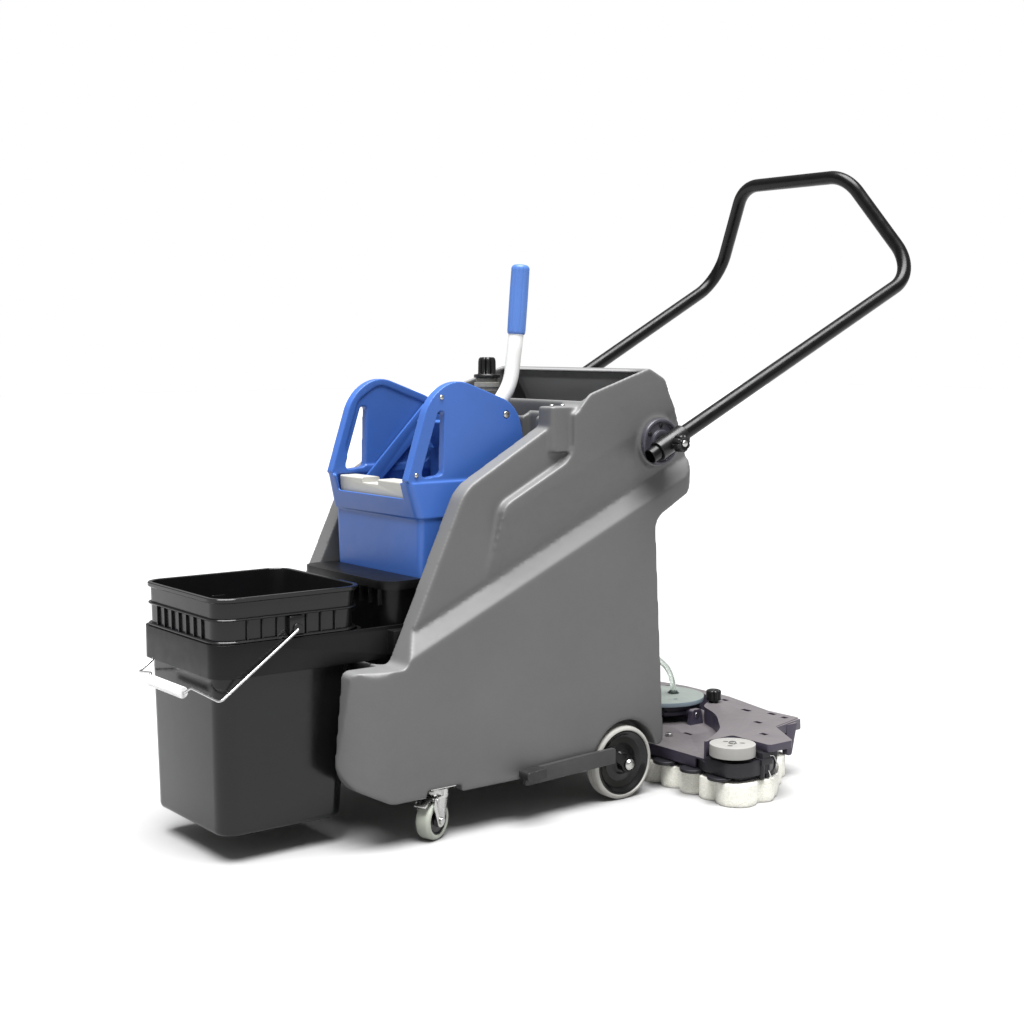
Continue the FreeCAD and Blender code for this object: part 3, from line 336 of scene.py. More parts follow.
def prism(name, corners, across, low, high, width=1.0, steps=6):
    """Extrude a rounded outline; across is 'y' for (x, z) corners, 'z' for (x, y), 'x' for (y, z)."""
    bm = bmesh.new()
    place = {
        "y": lambda a, b, c: at(a, c, b),
        "z": lambda a, b, c: at(a, b, c),
        "x": lambda a, b, c: at(c, a, b),
    }[across]
    outline = rounded_outline(corners, steps)
    bottom = [bm.verts.new(place(a, b, low)) for a, b in outline]
    top = [bm.verts.new(place(a, b, high)) for a, b in outline]
    count = len(outline)
    for k in range(count):
        n = (k + 1) % count
        bm.faces.new((bottom[k], bottom[n], top[n], top[k]))
    bm.faces.new(bottom)
    bm.faces.new(top)
    bmesh.ops.recalc_face_normals(bm, faces=bm.faces)
    return bevel(add_object(name, bm), width, 3, 50.0)


def rounded_box(name, x0, x1, y0, y1, z0, z1, width):
    corners = ((x0, y0, 0), (x1, y0, 0), (x1, y1, 0), (x0, y1, 0))
    return prism(name, corners, "z", z0, z1, width)


def wall_loop(x0, x1, half_y, radius, corner_steps=10):
    """Rounded rectangle in plan as (x, y) points, always the same count."""
    corners = ((x1, half_y), (x0, half_y), (x0, -half_y), (x1, -half_y))
    out = []
    for i, (cx, cy) in enumerate(corners):
        sx = 1 if cx == x1 else -1
        sy = 1 if cy > 0 else -1
        start = (0, 90, 180, 270)[i]
        for k in range(corner_steps + 1):
            a = math.radians(start + 90 * k / corner_steps)
            out.append((cx - sx * radius + radius * math.cos(a), cy - sy * radius + radius * math.sin(a)))
    return out


def stacked(name, loops):
    """Skin over plan loops, each (x0, x1, half_y, z, radius), closed at both ends."""
    bm = bmesh.new()
    rings = []
    for x0, x1, half_y, z, radius in loops:
        rings.append([bm.verts.new(at(x, y, z)) for x, y in wall_loop(x0, x1, half_y, radius)])
    count = len(rings[0])
    for a, b in zip(rings, rings[1:]):
        for k in range(count):
            n = (k + 1) % count
            bm.faces.new((a[k], a[n], b[n], b[k]))
    bm.faces.new(list(reversed(rings[0])))
    bm.faces.new(rings[-1])
    bmesh.ops.recalc_face_normals(bm, faces=bm.faces)
    return shade(add_object(name, bm), 30)


def piece(obj, body, material, slot, *stands_for):
    """Finish a piece: its material, its body and the CAD nodes it stands for. The slot is not used."""
    obj.data.materials.clear()
    obj.data.materials.append(material)
    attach(obj, body)
    if stands_for:
        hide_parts(*stands_for)


# ---- materials ----

class Paint:
    """Small builder for one procedural material on object coordinates."""

    def __init__(self, name):
        self.material = bpy.data.materials.new(name)
        self.material.use_nodes = True
        self.tree = self.material.node_tree
        self.shader = self.tree.nodes["Principled BSDF"]
        self.coords = self.tree.nodes.new("ShaderNodeTexCoord").outputs["Object"]
        self.bump = None

    def node(self, kind, **inputs):
        made = self.tree.nodes.new(kind)
        for key, value in inputs.items():
            socket = made.inputs[key.replace("_", " ")]
            if isinstance(value, bpy.types.NodeSocket):
                self.tree.links.new(value, socket)
            else:
                socket.default_value = value
        return made

    def noise(self, scale, detail=4.0, rough=0.5, stretch=None):
        vector = self.coords
        if stretch:
            vector = self.node("ShaderNodeMapping", Vector=vector, Scale=stretch).outputs[0]
        return self.node(
            "ShaderNodeTexNoise", Vector=vector, Scale=scale, Detail=detail, Roughness=rough
        ).outputs[0]

    def ramp(self, value, low, high, a, b):
        return self.node(
            "ShaderNodeMapRange", Value=value, From_Min=low, From_Max=high, To_Min=a, To_Max=b
        ).outputs[0]

    def mix(self, factor, a, b):
        made = self.tree.nodes.new("ShaderNodeMix")
        made.data_type = "RGBA"
        for index, value in ((0, factor), (6, a), (7, b)):
            if isinstance(value, bpy.types.NodeSocket):
                self.tree.links.new(value, made.inputs[index])
            else:
                made.inputs[index].default_value = value
        return made.outputs[2]

    def mottle(self, height, colour, dark, light):
        """Two shades of a colour mixed by a noise."""
        return self.mix(self.ramp(height, 0.3, 0.7, 0.0, 1.0), scaled(colour, dark), scaled(colour, light))

    def combine(self, operation, a, b):
        made = self.node("ShaderNodeMath", Value=a)
        made.operation = operation
        self.tree.links.new(b, made.inputs[1])
        return made.outputs[0]

    def height(self):
        return self.node("ShaderNodeSeparateXYZ", Vector=self.coords).outputs[2]

    def normal(self, axis):
        """One axis of the surface normal, in the piece's own coordinates."""
        way = self.node("ShaderNodeTexCoord").outputs["Normal"]
        return self.node("ShaderNodeSeparateXYZ", Vector=way).outputs[axis]

    def add_bump(self, height, strength, distance):
        made = self.node("ShaderNodeBump", Height=height, Strength=strength, Distance=distance)
        if self.bump:
            self.tree.links.new(self.bump, made.inputs["Normal"])
        self.bump = made.outputs[0]

    def set(self, socket, value):
        target = self.shader.inputs[socket]
        if isinstance(value, bpy.types.NodeSocket):
            self.tree.links.new(value, target)
        else:
            target.default_value = value

    def done(self):
        if self.bump:
            self.tree.links.new(self.bump, self.shader.inputs["Normal"])
        return self.material


def rgb(r, g, b):
    """Linear colour from 0 to 255 screen values."""
    def linear(v):
        v /= 255
        return v / 12.92 if v <= 0.04045 else ((v + 0.055) / 1.055) ** 2.4
    return (linear(r), linear(g), linear(b), 1.0)


def scaled(colour, k):
    return tuple(min(1.0, c * k) for c in colour[:3]) + (1.0,)


def moulded_plastic(name, colour, rough, grain, grain_height, wear, shine, sides=None):
    """Plastic with a fine moulded grain, soft tone changes, scuffs and worn edges; a sides colour paints
    light and shade onto the faces that don't look up.
    """
    p = Paint(name)
    tone = p.mottle(p.noise(7.0, 5.0), colour, 0.9, 1.1)
    # painted light and shade: faces that don't look up take the sides colour, a painted shade on the deck's
    # sides and a painted cooler tone on the disc's rim
    if sides:
        tone = p.mix(p.ramp(p.normal(2), 0.35, 0.8, 0.0, 1.0), sides, tone)
    fine = p.noise(grain, 2.0)
    tone = p.mix(p.ramp(fine, 0.3, 0.7, 0.0, 0.1), tone, scaled(colour, 1.3))
    scuff = p.ramp(p.noise(38.0, 8.0, 0.7, (1.0, 1.0, 0.22)), 0.62, 0.78, 0.0, wear)
    tone = p.mix(scuff, tone, scaled(colour, 1.7))
    edge = p.node("ShaderNodeNewGeometry").outputs["Pointiness"]
    worn = p.ramp(edge, 0.53, 0.6, 0.0, wear)
    tone = p.mix(worn, tone, scaled(colour, 1.8))
    p.set("Base Color", tone)
    p.set("Roughness", p.ramp(p.noise(55.0, 6.0), 0.25, 0.75, rough - 0.04, rough + 0.06))
    p.add_bump(fine, 0.4, grain_height)
    p.add_bump(p.noise(22.0, 2.0), 0.25, 0.0003)
    p.set("Specular IOR Level", shine)
    return p.done()


def painted_mouth_light(p):
    """Mask for painted light on the wall inside the tank's mouth that leans over the water: it stands in for
    light reaching in.
    """
    reach = p.node("ShaderNodeVectorMath", Vector=p.coords)
    reach.operation = "DISTANCE"
    reach.inputs[1].default_value = at(*PAINTED_LIGHT_CENTRE)
    near = p.ramp(reach.outputs["Value"], 0.19, 0.23, 1.0, 0.0)
    return p.combine("MULTIPLY", near, p.ramp(p.normal(0), -0.7, -0.3, 1.0, 0.0))

def rotomoulded(name, colour):
    """Thick rotomoulded polyethylene: orange peel, faint swirls, soil low down, painted light on the wall
    inside the mouth and tops painted paler as if lit from above.
    """
    p = Paint(name)
    tone = p.mottle(p.noise(4.0, 6.0, 0.6), colour, 0.92, 1.08)
    speck = p.noise(1400.0, 1.0)
    tone = p.mix(p.ramp(speck, 0.42, 0.7, 0.0, 0.3), tone, scaled(colour, 1.5))
    dark = p.ramp(p.noise(2100.0, 1.0), 0.55, 0.75, 0.0, 0.35)
    tone = p.mix(dark, tone, scaled(colour, 0.6))
    scratch = p.ramp(p.noise(60.0, 9.0, 0.75, (0.15, 1.0, 1.0)), 0.66, 0.74, 0.0, 0.16)
    tone = p.mix(scratch, tone, scaled(colour, 1.6))
    low = p.ramp(p.height(), 0.07, 0.2, 0.3, 0.0)
    dirt = p.mix(p.noise(24.0, 7.0), (0, 0, 0, 1), (1, 1, 1, 1))
    tone = p.mix(p.combine("MULTIPLY", low, dirt), tone, scaled(colour, 0.45))
    # painted light: the wall inside the mouth is made six times paler, as if light reached in
    tone = p.mix(painted_mouth_light(p), tone, scaled(colour, 6.0))
    # painted light: faces that look up are made paler, as if lit from above
    tone = p.mix(p.ramp(p.normal(2), 0.25, 0.75, 0.0, 1.0), tone, scaled(colour, 1.6))
    p.set("Base Color", tone)
    p.set("Roughness", p.ramp(p.noise(80.0, 5.0), 0.25, 0.75, 0.42, 0.56))
    p.add_bump(p.noise(420.0, 3.0), 0.45, 0.00022)
    p.add_bump(p.noise(16.0, 2.0), 0.3, 0.0012)
    return p.done()


def metal(name, colour, rough, brushed=(1.0, 1.0, 1.0), spots=0.15):
    """Bare or plated metal with fine draw lines and small dull spots."""
    p = Paint(name)
    lines = p.noise(700.0, 3.0, 0.6, brushed)
    tone = p.mottle(lines, colour, 0.82, 1.08)
    spot = p.ramp(p.noise(160.0, 6.0, 0.7), 0.6, 0.75, 0.0, spots)
    tone = p.mix(spot, tone, scaled(colour, 0.45))
    p.set("Base Color", tone)
    p.set("Metallic", 1.0)
    p.set("Roughness", p.ramp(p.noise(110.0, 5.0), 0.25, 0.75, rough - 0.06, rough + 0.12))
    p.add_bump(lines, 0.25, 0.00005)
    return p.done()


def enamel(name, colour, rough=0.16, wear=0.2):
    """Gloss powder coat: slight orange peel and rubbed patches."""
    p = Paint(name)
    tone = p.mottle(p.noise(12.0, 5.0), colour, 0.8, 1.25)
    rub = p.ramp(p.noise(45.0, 8.0, 0.7), 0.62, 0.8, 0.0, wear)
    tone = p.mix(rub, tone, scaled(colour, 2.6))
    p.set("Base Color", tone)
    p.set("Roughness", p.ramp(p.noise(70.0, 6.0), 0.3, 0.75, rough, rough + 0.14))
    p.add_bump(p.noise(520.0, 2.0), 0.2, 0.00005)
    p.set("Specular IOR Level", 0.24)
    return p.done()


def rubber(name, colour, rough=0.6, dirt=0.35):
    """Soft rubber with a fine grain and dull stains."""
    p = Paint(name)
    tone = p.mottle(p.noise(30.0, 6.0), colour, 0.85, 1.1)
    stain = p.ramp(p.noise(70.0, 8.0, 0.7), 0.5, 0.8, 0.0, dirt)
    tone = p.mix(stain, tone, scaled(colour, 0.45))
    p.set("Base Color", tone)
    p.set("Roughness", p.ramp(p.noise(90.0, 5.0), 0.3, 0.7, rough - 0.08, rough + 0.12))
    p.add_bump(p.noise(600.0, 3.0), 0.5, 0.00015)
    return p.done()


def nylon_web(name, colour):
    """Open nylon web: crossing fibres, hollows between them and grey floor soil at the bottom."""
    p = Paint(name)
    fibres = p.noise(420.0, 3.0, 0.8, (1.0, 0.25, 1.0))
    crossing = p.noise(420.0, 3.0, 0.8, (0.25, 1.0, 1.0))
    web = p.combine("MAXIMUM", fibres, crossing)
    tone = p.mix(p.ramp(web, 0.45, 0.62, 0.0, 1.0), scaled(colour, 0.8), scaled(colour, 1.04))
    tone = p.mix(p.ramp(p.noise(18.0, 5.0), 0.4, 0.8, 0.0, 0.15), tone, scaled(colour, 0.75))
    tone = p.mix(p.ramp(p.height(), 0.0, 0.012, 0.35, 0.0), tone, scaled(colour, 0.5))
    p.set("Base Color", tone)
    p.set("Roughness", 0.9)
    p.set("Sheen Weight", 0.25)
    p.add_bump(web, 0.6, 0.0008)
    return p.done()


def clear_hose(name):
    """Clear vinyl, a little cloudy."""
    p = Paint(name)
    cloud = p.ramp(p.noise(60.0, 4.0), 0.3, 0.7, 0.0, 1.0)
    p.set("Base Color", p.mix(cloud, rgb(222, 232, 224), rgb(238, 244, 240)))
    p.set("Roughness", p.ramp(p.noise(120.0, 4.0), 0.3, 0.7, 0.12, 0.3))
    p.set("Transmission Weight", 0.75)
    p.set("IOR", 1.4)
    p.add_bump(p.noise(200.0, 2.0), 0.2, 0.0001)
    return p.done()


# plastics: colour, roughness, grain scale, grain depth, wear, shine and a painted tone for the side faces,
# standing in for the light falling less on them
grey_tank = rotomoulded("tank_grey", rgb(85, 85, 85))
gloss_black = moulded_plastic("pail_black", rgb(17, 17, 18), 0.2, 250.0, 0.00001, 0.03, 0.35)
matt_black = moulded_plastic("matt_black", rgb(13, 13, 14), 0.36, 400.0, 0.00003, 0.05, 0.22)
base_black = moulded_plastic("base_black", rgb(28, 27, 31), 0.42, 800.0, 0.00008, 0.12, 0.3)
flange_grey = moulded_plastic("flange_grey", rgb(66, 64, 72), 0.25, 900.0, 0.00006, 0.3, 0.4)
grip_blue = moulded_plastic("lever_grip", rgb(74, 110, 176), 0.4, 900.0, 0.00006, 0.03, 0.4)
knob_black = moulded_plastic("knob_black", rgb(18, 18, 19), 0.3, 900.0, 0.00006, 0.1, 0.35)
blue_plastic = moulded_plastic("wringer_blue", rgb(56, 94, 166), 0.36, 900.0, 0.00006, 0.04, 0.4)
white_plastic = moulded_plastic("press_white", rgb(172, 171, 164), 0.42, 900.0, 0.00008, 0.04, 0.4)
grip_white = moulded_plastic("bail_white", rgb(225, 225, 225), 0.35, 900.0, 0.00006, 0.03, 0.4)
# the deck's side faces take a darker painted shade
deck_grey = moulded_plastic("deck_grey", rgb(92, 88, 90), 0.36, 500.0, 0.00003, 0.05, 0.45, rgb(50, 45, 60))
housing_dark = moulded_plastic("housing_dark", rgb(38, 35, 46), 0.36, 800.0, 0.00008, 0.15, 0.4)
# the disc's rim takes a painted tone for how the light falls on it
disc_pale = moulded_plastic(
    "disc_pale", rgb(116, 123, 119), 0.34, 500.0, 0.00003, 0.03, 0.45, rgb(126, 140, 150),
)
roller_grey = moulded_plastic("roller_grey", rgb(136, 135, 132), 0.42, 900.0, 0.00008, 0.05, 0.4)
neck_plastic = moulded_plastic("filler_neck", rgb(128, 127, 122), 0.3, 900.0, 0.00006, 0.1, 0.5)
tyre_grey = rubber("tyre_grey", rgb(160, 159, 154))
caster_tread = rubber("caster_tread", rgb(150, 154, 144))
black_rubber = rubber("black_rubber", rgb(24, 24, 25), 0.5, 0.1)
boot_rubber = rubber("boot_rubber", rgb(30, 44, 42), 0.55, 0.2)
black_enamel = enamel("handle_black", rgb(8, 8, 9), 0.22, 0.03)
pedal_enamel = enamel("pedal_grey", rgb(58, 58, 58), 0.4, 0.15)
lever_enamel = enamel("lever_pale", rgb(205, 205, 203), 0.25, 0.0)
lift_enamel = enamel("lift_dark", rgb(38, 38, 42), 0.35, 0.1)
steel = metal("axle_steel", rgb(150, 150, 148), 0.32, (1.0, 0.1, 1.0))
wire_steel = metal("wire_steel", rgb(200, 200, 200), 0.22, (0.3, 1.0, 0.3), 0.05)
zinc = metal("caster_zinc", rgb(190, 190, 188), 0.22, (1.0, 1.0, 0.3), 0.12)
bright_screw = metal("bright_screw", rgb(190, 190, 188), 0.25, (1.0, 1.0, 1.0), 0.2)
pad_web = nylon_web("pad_cream", rgb(222, 221, 211))
hose_clear = clear_hose("clear_tube")


# ---- small hardware ----

def cross_recess(rings, segments, reach):
    """Wave that pinches chosen lathe rings into a cross-shaped driver recess."""
    def wave(i, k):
        if i not in rings:
            return 0.0
        near_arm = abs(math.cos(2 * 2 * math.pi * k / segments))
        return 0.0 if near_arm > 0.86 else -reach * 0.68
    return wave


def screw_head(name, centre, axis, radius, height):
    """Domed head with a cross recess, standing on centre along axis."""
    cut = radius * 0.55
    profile = [
        (height * 0.55, 0.0), (height * 0.6, cut * 0.9), (height * 0.97, cut),
        (height * 0.9, radius * 0.7), (height * 0.6, radius * 0.93), (height * 0.2, radius), (0.0, radius),
    ]
    return lathe(name, profile, centre, axis, 32, cross_recess((1, 2), 32, cut))


def hex_bolt(name, centre, axis, radius, height, washer=0.0):
    """Hexagon head over an optional washer."""
    def wave(i, k):
        if i in (2, 3):
            a = math.radians((k * 360 / 48) % 60 - 30)
            return radius * (0.866 / math.cos(a) - 1)
        return 0.0
    thin = 1.5 if washer else 0.0
    profile = [
        (height, 0.0), (height, radius * 0.7), (height - 1.0, radius), (thin, radius),
        (thin, washer or radius), (0.0, washer or radius),
    ]
    return lathe(name, profile, centre, axis, 48, wave)


def fluted(count, depth, rings, segments):
    """Wave for evenly spaced finger flutes on the chosen rings."""
    def wave(i, k):
        if i not in rings:
            return 0.0
        a = count * 2 * math.pi * k / segments
        return -depth * max(0.0, math.cos(a)) ** 2
    return wave


# screws of the tank on each side: place, facing, head radius and head height
TANK_SCREWS = (
    ((-134, 172, 673), (0, 0, 1), 4.6, 3.2), ((-112, 172, 673), (0, 0, 1), 4.6, 3.2),
    ((-446, 168, 72), (0, 0, -1), 7, 4), ((-150, 168, 72), (0, 0, -1), 7, 4),
    ((-405, 131.4, 310), (0, -1, 0), 6, 3.8), ((-388, 131.4, 310), (0, -1, 0), 6, 3.8),
)

def build_screws():
    heads = []
    for side in (-1, 1):
        for (x, y, z), facing, radius, height in TANK_SCREWS:
            axis = (0, side * facing[1], facing[2])
            heads.append(screw_head("s", (x, side * y, z), axis, radius, height))
        for dx in (-17, 17):
            for dy in (-12, 12):
                place = (CASTER_X + dx, side * CASTER_Y + dy, CASTER_PLATE_LOW)
                heads.append(hex_bolt("s", place, (0, 0, -1), 3.4, 0.8))
    piece(joined("steel_screws", heads), "chassis", bright_screw, "screw_steel", "body_screws")
    dark = []
    for side in (-1, 1):
        for i in range(6):
            a = math.radians(30 + 60 * i)
            x = HANDLE_X + FLANGE_SCREW_R * math.cos(a)
            centre = (x, side * FLANGE_SCREW_Y, HANDLE_Z + FLANGE_SCREW_R * math.sin(a))
            dark.append(screw_head("s", centre, (0, side, 0), 4, 2.4))
    piece(joined("flange_screws", dark), "chassis", knob_black, "handle_black")


# ---- body ----

def build_body():
    tank = moulded("tank_body", 3.0, 6)
    tank.name = "tank_body_moulded"
    piece(tank, "chassis", grey_tank, "tank_grey", "tank_body")
    build_filler()
    profile = turned((
        (-12, 9, 0), (5.5, 9, 1.5), (6, 4.1, 0), (9, 4.1, 0), (9.5, 4.15, 0), (26, 4.1, 1), (26, 2.6, 0),
    ))
    barb = lathe("outlet_barb", profile, (OUTLET_X, 0, OUTLET_Z), (1, 0, 0), 32)
    piece(barb, "chassis", knob_black, "hose_barb", "hose_barb")
    build_flanges()
    piece(dressed("axle_brackets", 0.8), "chassis", zinc, "axle_steel", "axle_brackets")
    piece(dressed("caster_plates", 0.8), "chassis", zinc, "caster_zinc", "caster_plates")
    piece(dressed("holder_ring", 1.6), "chassis", matt_black, "ring_black", "holder_ring")


def build_filler():
    """Threaded neck and the fluted screw cap on it."""
    neck = [(0, 20), (6, 20), (7, 22), (14, 22), (15, 20)]
    neck += [(15.6 + 0.35 * k, 20 - (0.9 if k % 4 in (1, 2) else 0.0)) for k in range(17)]
    neck += [(21.6, 19.6), (22, 19), (22, 16.4), (1, 16.2)]
    threaded = lathe("filler_neck_thread", neck, (FILLER_X, FILLER_Y, NECK_LOW), (0, 0, 1), 64, closed=True)
    piece(threaded, "chassis", neck_plastic, "filler_neck", "filler_neck")
    cap = [
        (698, 0), (698, 14.6), (699, 15.6), (715.3, 15.6), (715.4, 22), (716.2, 23), (720.2, 23), (721.2, 22),
        (721.8, 16.4), (723, 15.6), (744, 15.2), (748.5, 14.2), (750.7, 12), (751, 9), (750, 7), (749.6, 0),
    ]
    profile = [(z - CAP_LOW, r) for z, r in cap]
    flutes = fluted(10, 3.0, (9, 10, 11, 12), 96)
    knob = lathe("filler_cap_knob", profile, (FILLER_X, FILLER_Y, CAP_LOW), (0, 0, 1), 96, flutes)
    piece(knob, "filler_cap", knob_black, "cap_black", "filler_cap")


def build_flanges():
    """Round pivot flanges: dished plate, thick rolled rim and a raised hub."""
    profile = turned((
        (0.1, 0, 0), (0.1, 40, 0), (5, 40, 2), (8, 38.6, 2), (8, 34, 2), (5, 33, 1.5), (5, 21, 1),
        (9, 19.6, 1), (9, 6.2, 0.6), (2, 6.1, 0), (2, 0, 0),
    ))
    made = [
        lathe("flange", profile, (HANDLE_X, side * FLANGE_Y, HANDLE_Z), (0, side, 0), 96)
        for side in (-1, 1)
    ]
    piece(joined("handle_flange_pair", made), "chassis", flange_grey, "handle_black", "handle_flanges")


def build_tube():
    """Clear solution tube between the outlet and the boot."""
    route = (
        (OUTLET_X + 8, 0, OUTLET_Z), (190, 0, OUTLET_Z), (250, 0, 190),
        (290, BOOT_Y, 158), (BOOT_X, BOOT_Y, 128), (BOOT_X, BOOT_Y, BOOT_LOW + 3),
    )
    path = rounded_path(route, HOSE_BEND_R, 10)
    dense = []
    for a, b in zip(path, path[1:]):
        steps = max(1, int((b - a).length / 5))
        dense += [a.lerp(b, k / steps) for k in range(steps)]
    hose = tube("solution_hose", dense + [path[-1]], HOSE_R, HOSE_BORE, 24, 1.0)
    hose.data.materials.append(hose_clear)
    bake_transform(hose)
    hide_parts("solution_tube")


# ---- handle ----

def handle_route():
    """Corners of the bent loop, from the left socket over the push bar to the right one."""
    px, py, pz = HANDLE_BEND
    bx, by, bz = HANDLE_BAR
    slope = (pz - HANDLE_Z) / (px - HANDLE_X)
    splay = (py - HANDLE_PIVOT_Y) / (px - HANDLE_X)
    start = (HANDLE_X - HANDLE_STUB, HANDLE_PIVOT_Y - splay * HANDLE_STUB, HANDLE_Z - slope * HANDLE_STUB)
    near = [(x, -y, z) for x, y, z in (start, (px, py, pz), (bx, by, bz))]
    return near + [(x, -y, z) for x, y, z in reversed(near)]


def build_handle():
    path = rounded_path(handle_route(), HANDLE_BEND_R, 20)
    loop = tube("handle_loop", path, HANDLE_TUBE_R, HANDLE_BORE, 48, 40)
    piece(loop, "handle", black_enamel, "handle_black", "handle_tube")
    clamps = moulded("pivot_clamps", 0.9, 5)
    clamps.name = "pivot_sockets"
    piece(clamps, "handle", knob_black, "clamp_black", "pivot_clamps")
    pins = []
    for side in (-1, 1):
        profile = turned(((0, 0, 0), (0, 5.9, 0), (66, 5.9, 3.5), (67.8, 0, 0)), 6)
        pins.append(lathe("pin", profile, (HANDLE_X, side * 205.2, HANDLE_Z), (0, side, 0), 32))
    piece(joined("pivot_bolts", pins), "handle", bright_screw, "axle_steel", "pivot_pins")
    for name, side in SIDES:
        profile = [(0, 6.1), (0, 13), (1.2, 15), (13, 14.6), (15, 13.4), (16, 11), (15, 8.5), (14.6, 6.1)]
        knob = lathe(
            "pivot_handwheel_" + name, profile, (HANDLE_X, side * PIVOT_KNOB_Y, HANDLE_Z), (0, side, 0), 96,
            fluted(8, 2.6, (2, 3, 4), 96), True,
        )
        piece(knob, "pivot_knob_" + name, knob_black, "knob_black", "pivot_knob_" + name)


# ---- wheels and pedal ----

def build_rear_wheel(name, side):
    centre = (0, side * REAR_WHEEL_MID_Y, REAR_WHEEL_R)
    outward = (0, side, 0)
    half = REAR_WHEEL_HALF
    tread = [(-half, 55.5), (-half, 58), (-half + 1, 60.8), (-half + 3.4, 62.8)]
    for groove in (-5.5, 0.0, 5.5):
        tread += [(groove - 1.3, 63.4), (groove - 0.8, 62.4), (groove + 0.8, 62.4), (groove + 1.3, 63.4)]
    tread += [(half - 3.4, 62.8), (half - 1, 60.8), (half, 58)]
    tread += [(half, 56.6), (half - 1.0, 56.0), (half - 1.4, 55.5)]
    tyre = lathe("rear_tread_" + name, tread, centre, outward, 128, closed=True)
    piece(tyre, "rear_wheel_" + name, tyre_grey, "tyre_grey", "rear_tyre_" + name)
    dish = turned((
        (-half, 8.1, 0), (-half, 16, 1), (-7.5, 22, 3), (-6.5, 44, 3), (-12.5, 50.5, 2), (-12.5, 55.4, 0),
        (12.5, 55.4, 1), (13.2, 53.2, 1), (11.8, 50.8, 2), (6.6, 45, 6), (4.6, 32, 8), (7.0, 21, 4),
        (12.8, 16.4, 2), (13.4, 9.6, 1), (12.4, 8.1, 0),
    ), 5)
    hub = lathe("rear_dish_" + name, dish, centre, outward, 96, closed=True)
    piece(hub, "rear_wheel_" + name, gloss_black, "hub_black", "rear_hub_" + name)


def build_lift():
    profile = turned(((AXLE_LEFT, 0, 0), (AXLE_LEFT, 8, 0.8), (AXLE_RIGHT, 8, 0.8), (AXLE_RIGHT, 0, 0)))
    shaft = lathe("lift_shaft", profile, (0, 0, REAR_WHEEL_R), (0, 1, 0), 48)
    piece(shaft, "lift", steel, "axle_steel", "axle_shaft")
    left = turned(((0, 0, 0), (0, 9.5, 0), (1.6, 9.5, 0.5), (5.6, 6, 4), (6, 0, 0)), 6)
    right = turned(((0, 8.05, 0), (0, 14, 0.8), (RIGHT_NUT, 14, 0.8), (RIGHT_NUT, 8.05, 0)))
    nuts = [
        lathe("nut", left, (0, AXLE_LEFT, REAR_WHEEL_R), (0, -1, 0), 48),
        lathe("nut", right, (0, AXLE_RIGHT - RIGHT_NUT, REAR_WHEEL_R), (0, 1, 0), 48, closed=True),
    ]
    piece(joined("shaft_ends", nuts), "lift", bright_screw, "axle_steel", "axle_nuts")
    piece(dressed("pedal_arm", 1.6), "lift", pedal_enamel, "pedal_grey", "pedal_arm")
    piece(dressed("pedal_crank", 1.2), "lift", black_enamel, "pedal_grey", "pedal_crank")
    piece(moulded("pedal_pad", 1.0, 8), "lift", black_rubber, "pedal_rubber", "pedal_pad")
    piece(dressed("lift_arms", 1.0), "lift", lift_enamel, "lift_steel", "lift_arms")
    piece(dressed("disc_housing", 1.0), "lift", housing_dark, "housing_dark", "disc_housing")
    piece(dressed("trunnion_pins", 0.8), "lift", bright_screw, "axle_steel", "trunnion_pins")
    build_disc()


def build_disc():
    piece(dressed("swivel_disc", 1.6), "lift", disc_pale, "disc_pale", "swivel_disc")
    profile = turned((
        (0, 5.7, 0), (0, 12, 0), (3, 12, 1), (4.5, 9.6, 1), (6, 10.6, 1), (7.5, 8.6, 1),
        (9, 9.4, 1), (12, 8, 1), (12, 5.7, 0),
    ))
    boot = lathe("tube_boot_ribbed", profile, (BOOT_X, BOOT_Y, BOOT_LOW), (0, 0, 1), 48, closed=True)
    piece(boot, "lift", boot_rubber, "boot_dark", "tube_boot")

def build_caster(name, side):
    yaw = math.radians(CASTER_YAW[side])
    body = "caster_wheel_" + name
    fork = dressed("caster_fork_" + name, 1.0)
    piece(fork, "caster_fork_" + name, zinc, "caster_zinc", "caster_fork_" + name)
    centre = (
        CASTER_X - CASTER_TRAIL * math.cos(yaw), side * CASTER_Y - CASTER_TRAIL * math.sin(yaw), CASTER_R,
    )
    axis = (-math.sin(yaw), math.cos(yaw), 0)
    tread = turned((
        (-11, 22.9, 0), (-12.9, 23.6, 1), (-12.9, 28.5, 4), (-8.5, 31.7, 6), (8.5, 31.7, 6), (12.9, 28.5, 4),
        (12.9, 23.6, 1), (11, 22.9, 0),
    ), 5)
    tyre = lathe("caster_tyre_" + name, tread, centre, axis, 96, closed=True)
    piece(tyre, body, caster_tread, "caster_tread", body)
    core = turned((
        (-14.4, 4.1, 0), (-14.4, 8.4, 1), (-10.5, 10.5, 1), (-9.5, 19.5, 2), (-11.4, 21, 1), (-11.4, 22.9, 0),
        (11.4, 22.9, 0), (11.4, 21, 1), (9.5, 19.5, 2), (10.5, 10.5, 1), (14.4, 8.4, 1), (14.4, 4.1, 0),
    ))
    piece(lathe("caster_core_" + name, core, centre, axis, 72, closed=True), body, gloss_black, "hub_black")
    brake = dressed("caster_brake_" + name, 0.7)
    piece(brake, "caster_brake_" + name, zinc, "caster_zinc", "caster_brake_" + name)


# ---- front pail ----

def pail_at(z, proud=0.0):
    """Plan of the tapered pail at a height: x0, x1, half width, z and corner radius."""
    share = (z - PAIL_LOW[3]) / (PAIL_HIGH[3] - PAIL_LOW[3])
    x0, x1, half_y = (a + share * (b - a) for a, b in zip(PAIL_LOW[:3], PAIL_HIGH[:3]))
    return (x0 - proud, x1 + proud, half_y + proud, z, 30 + proud)


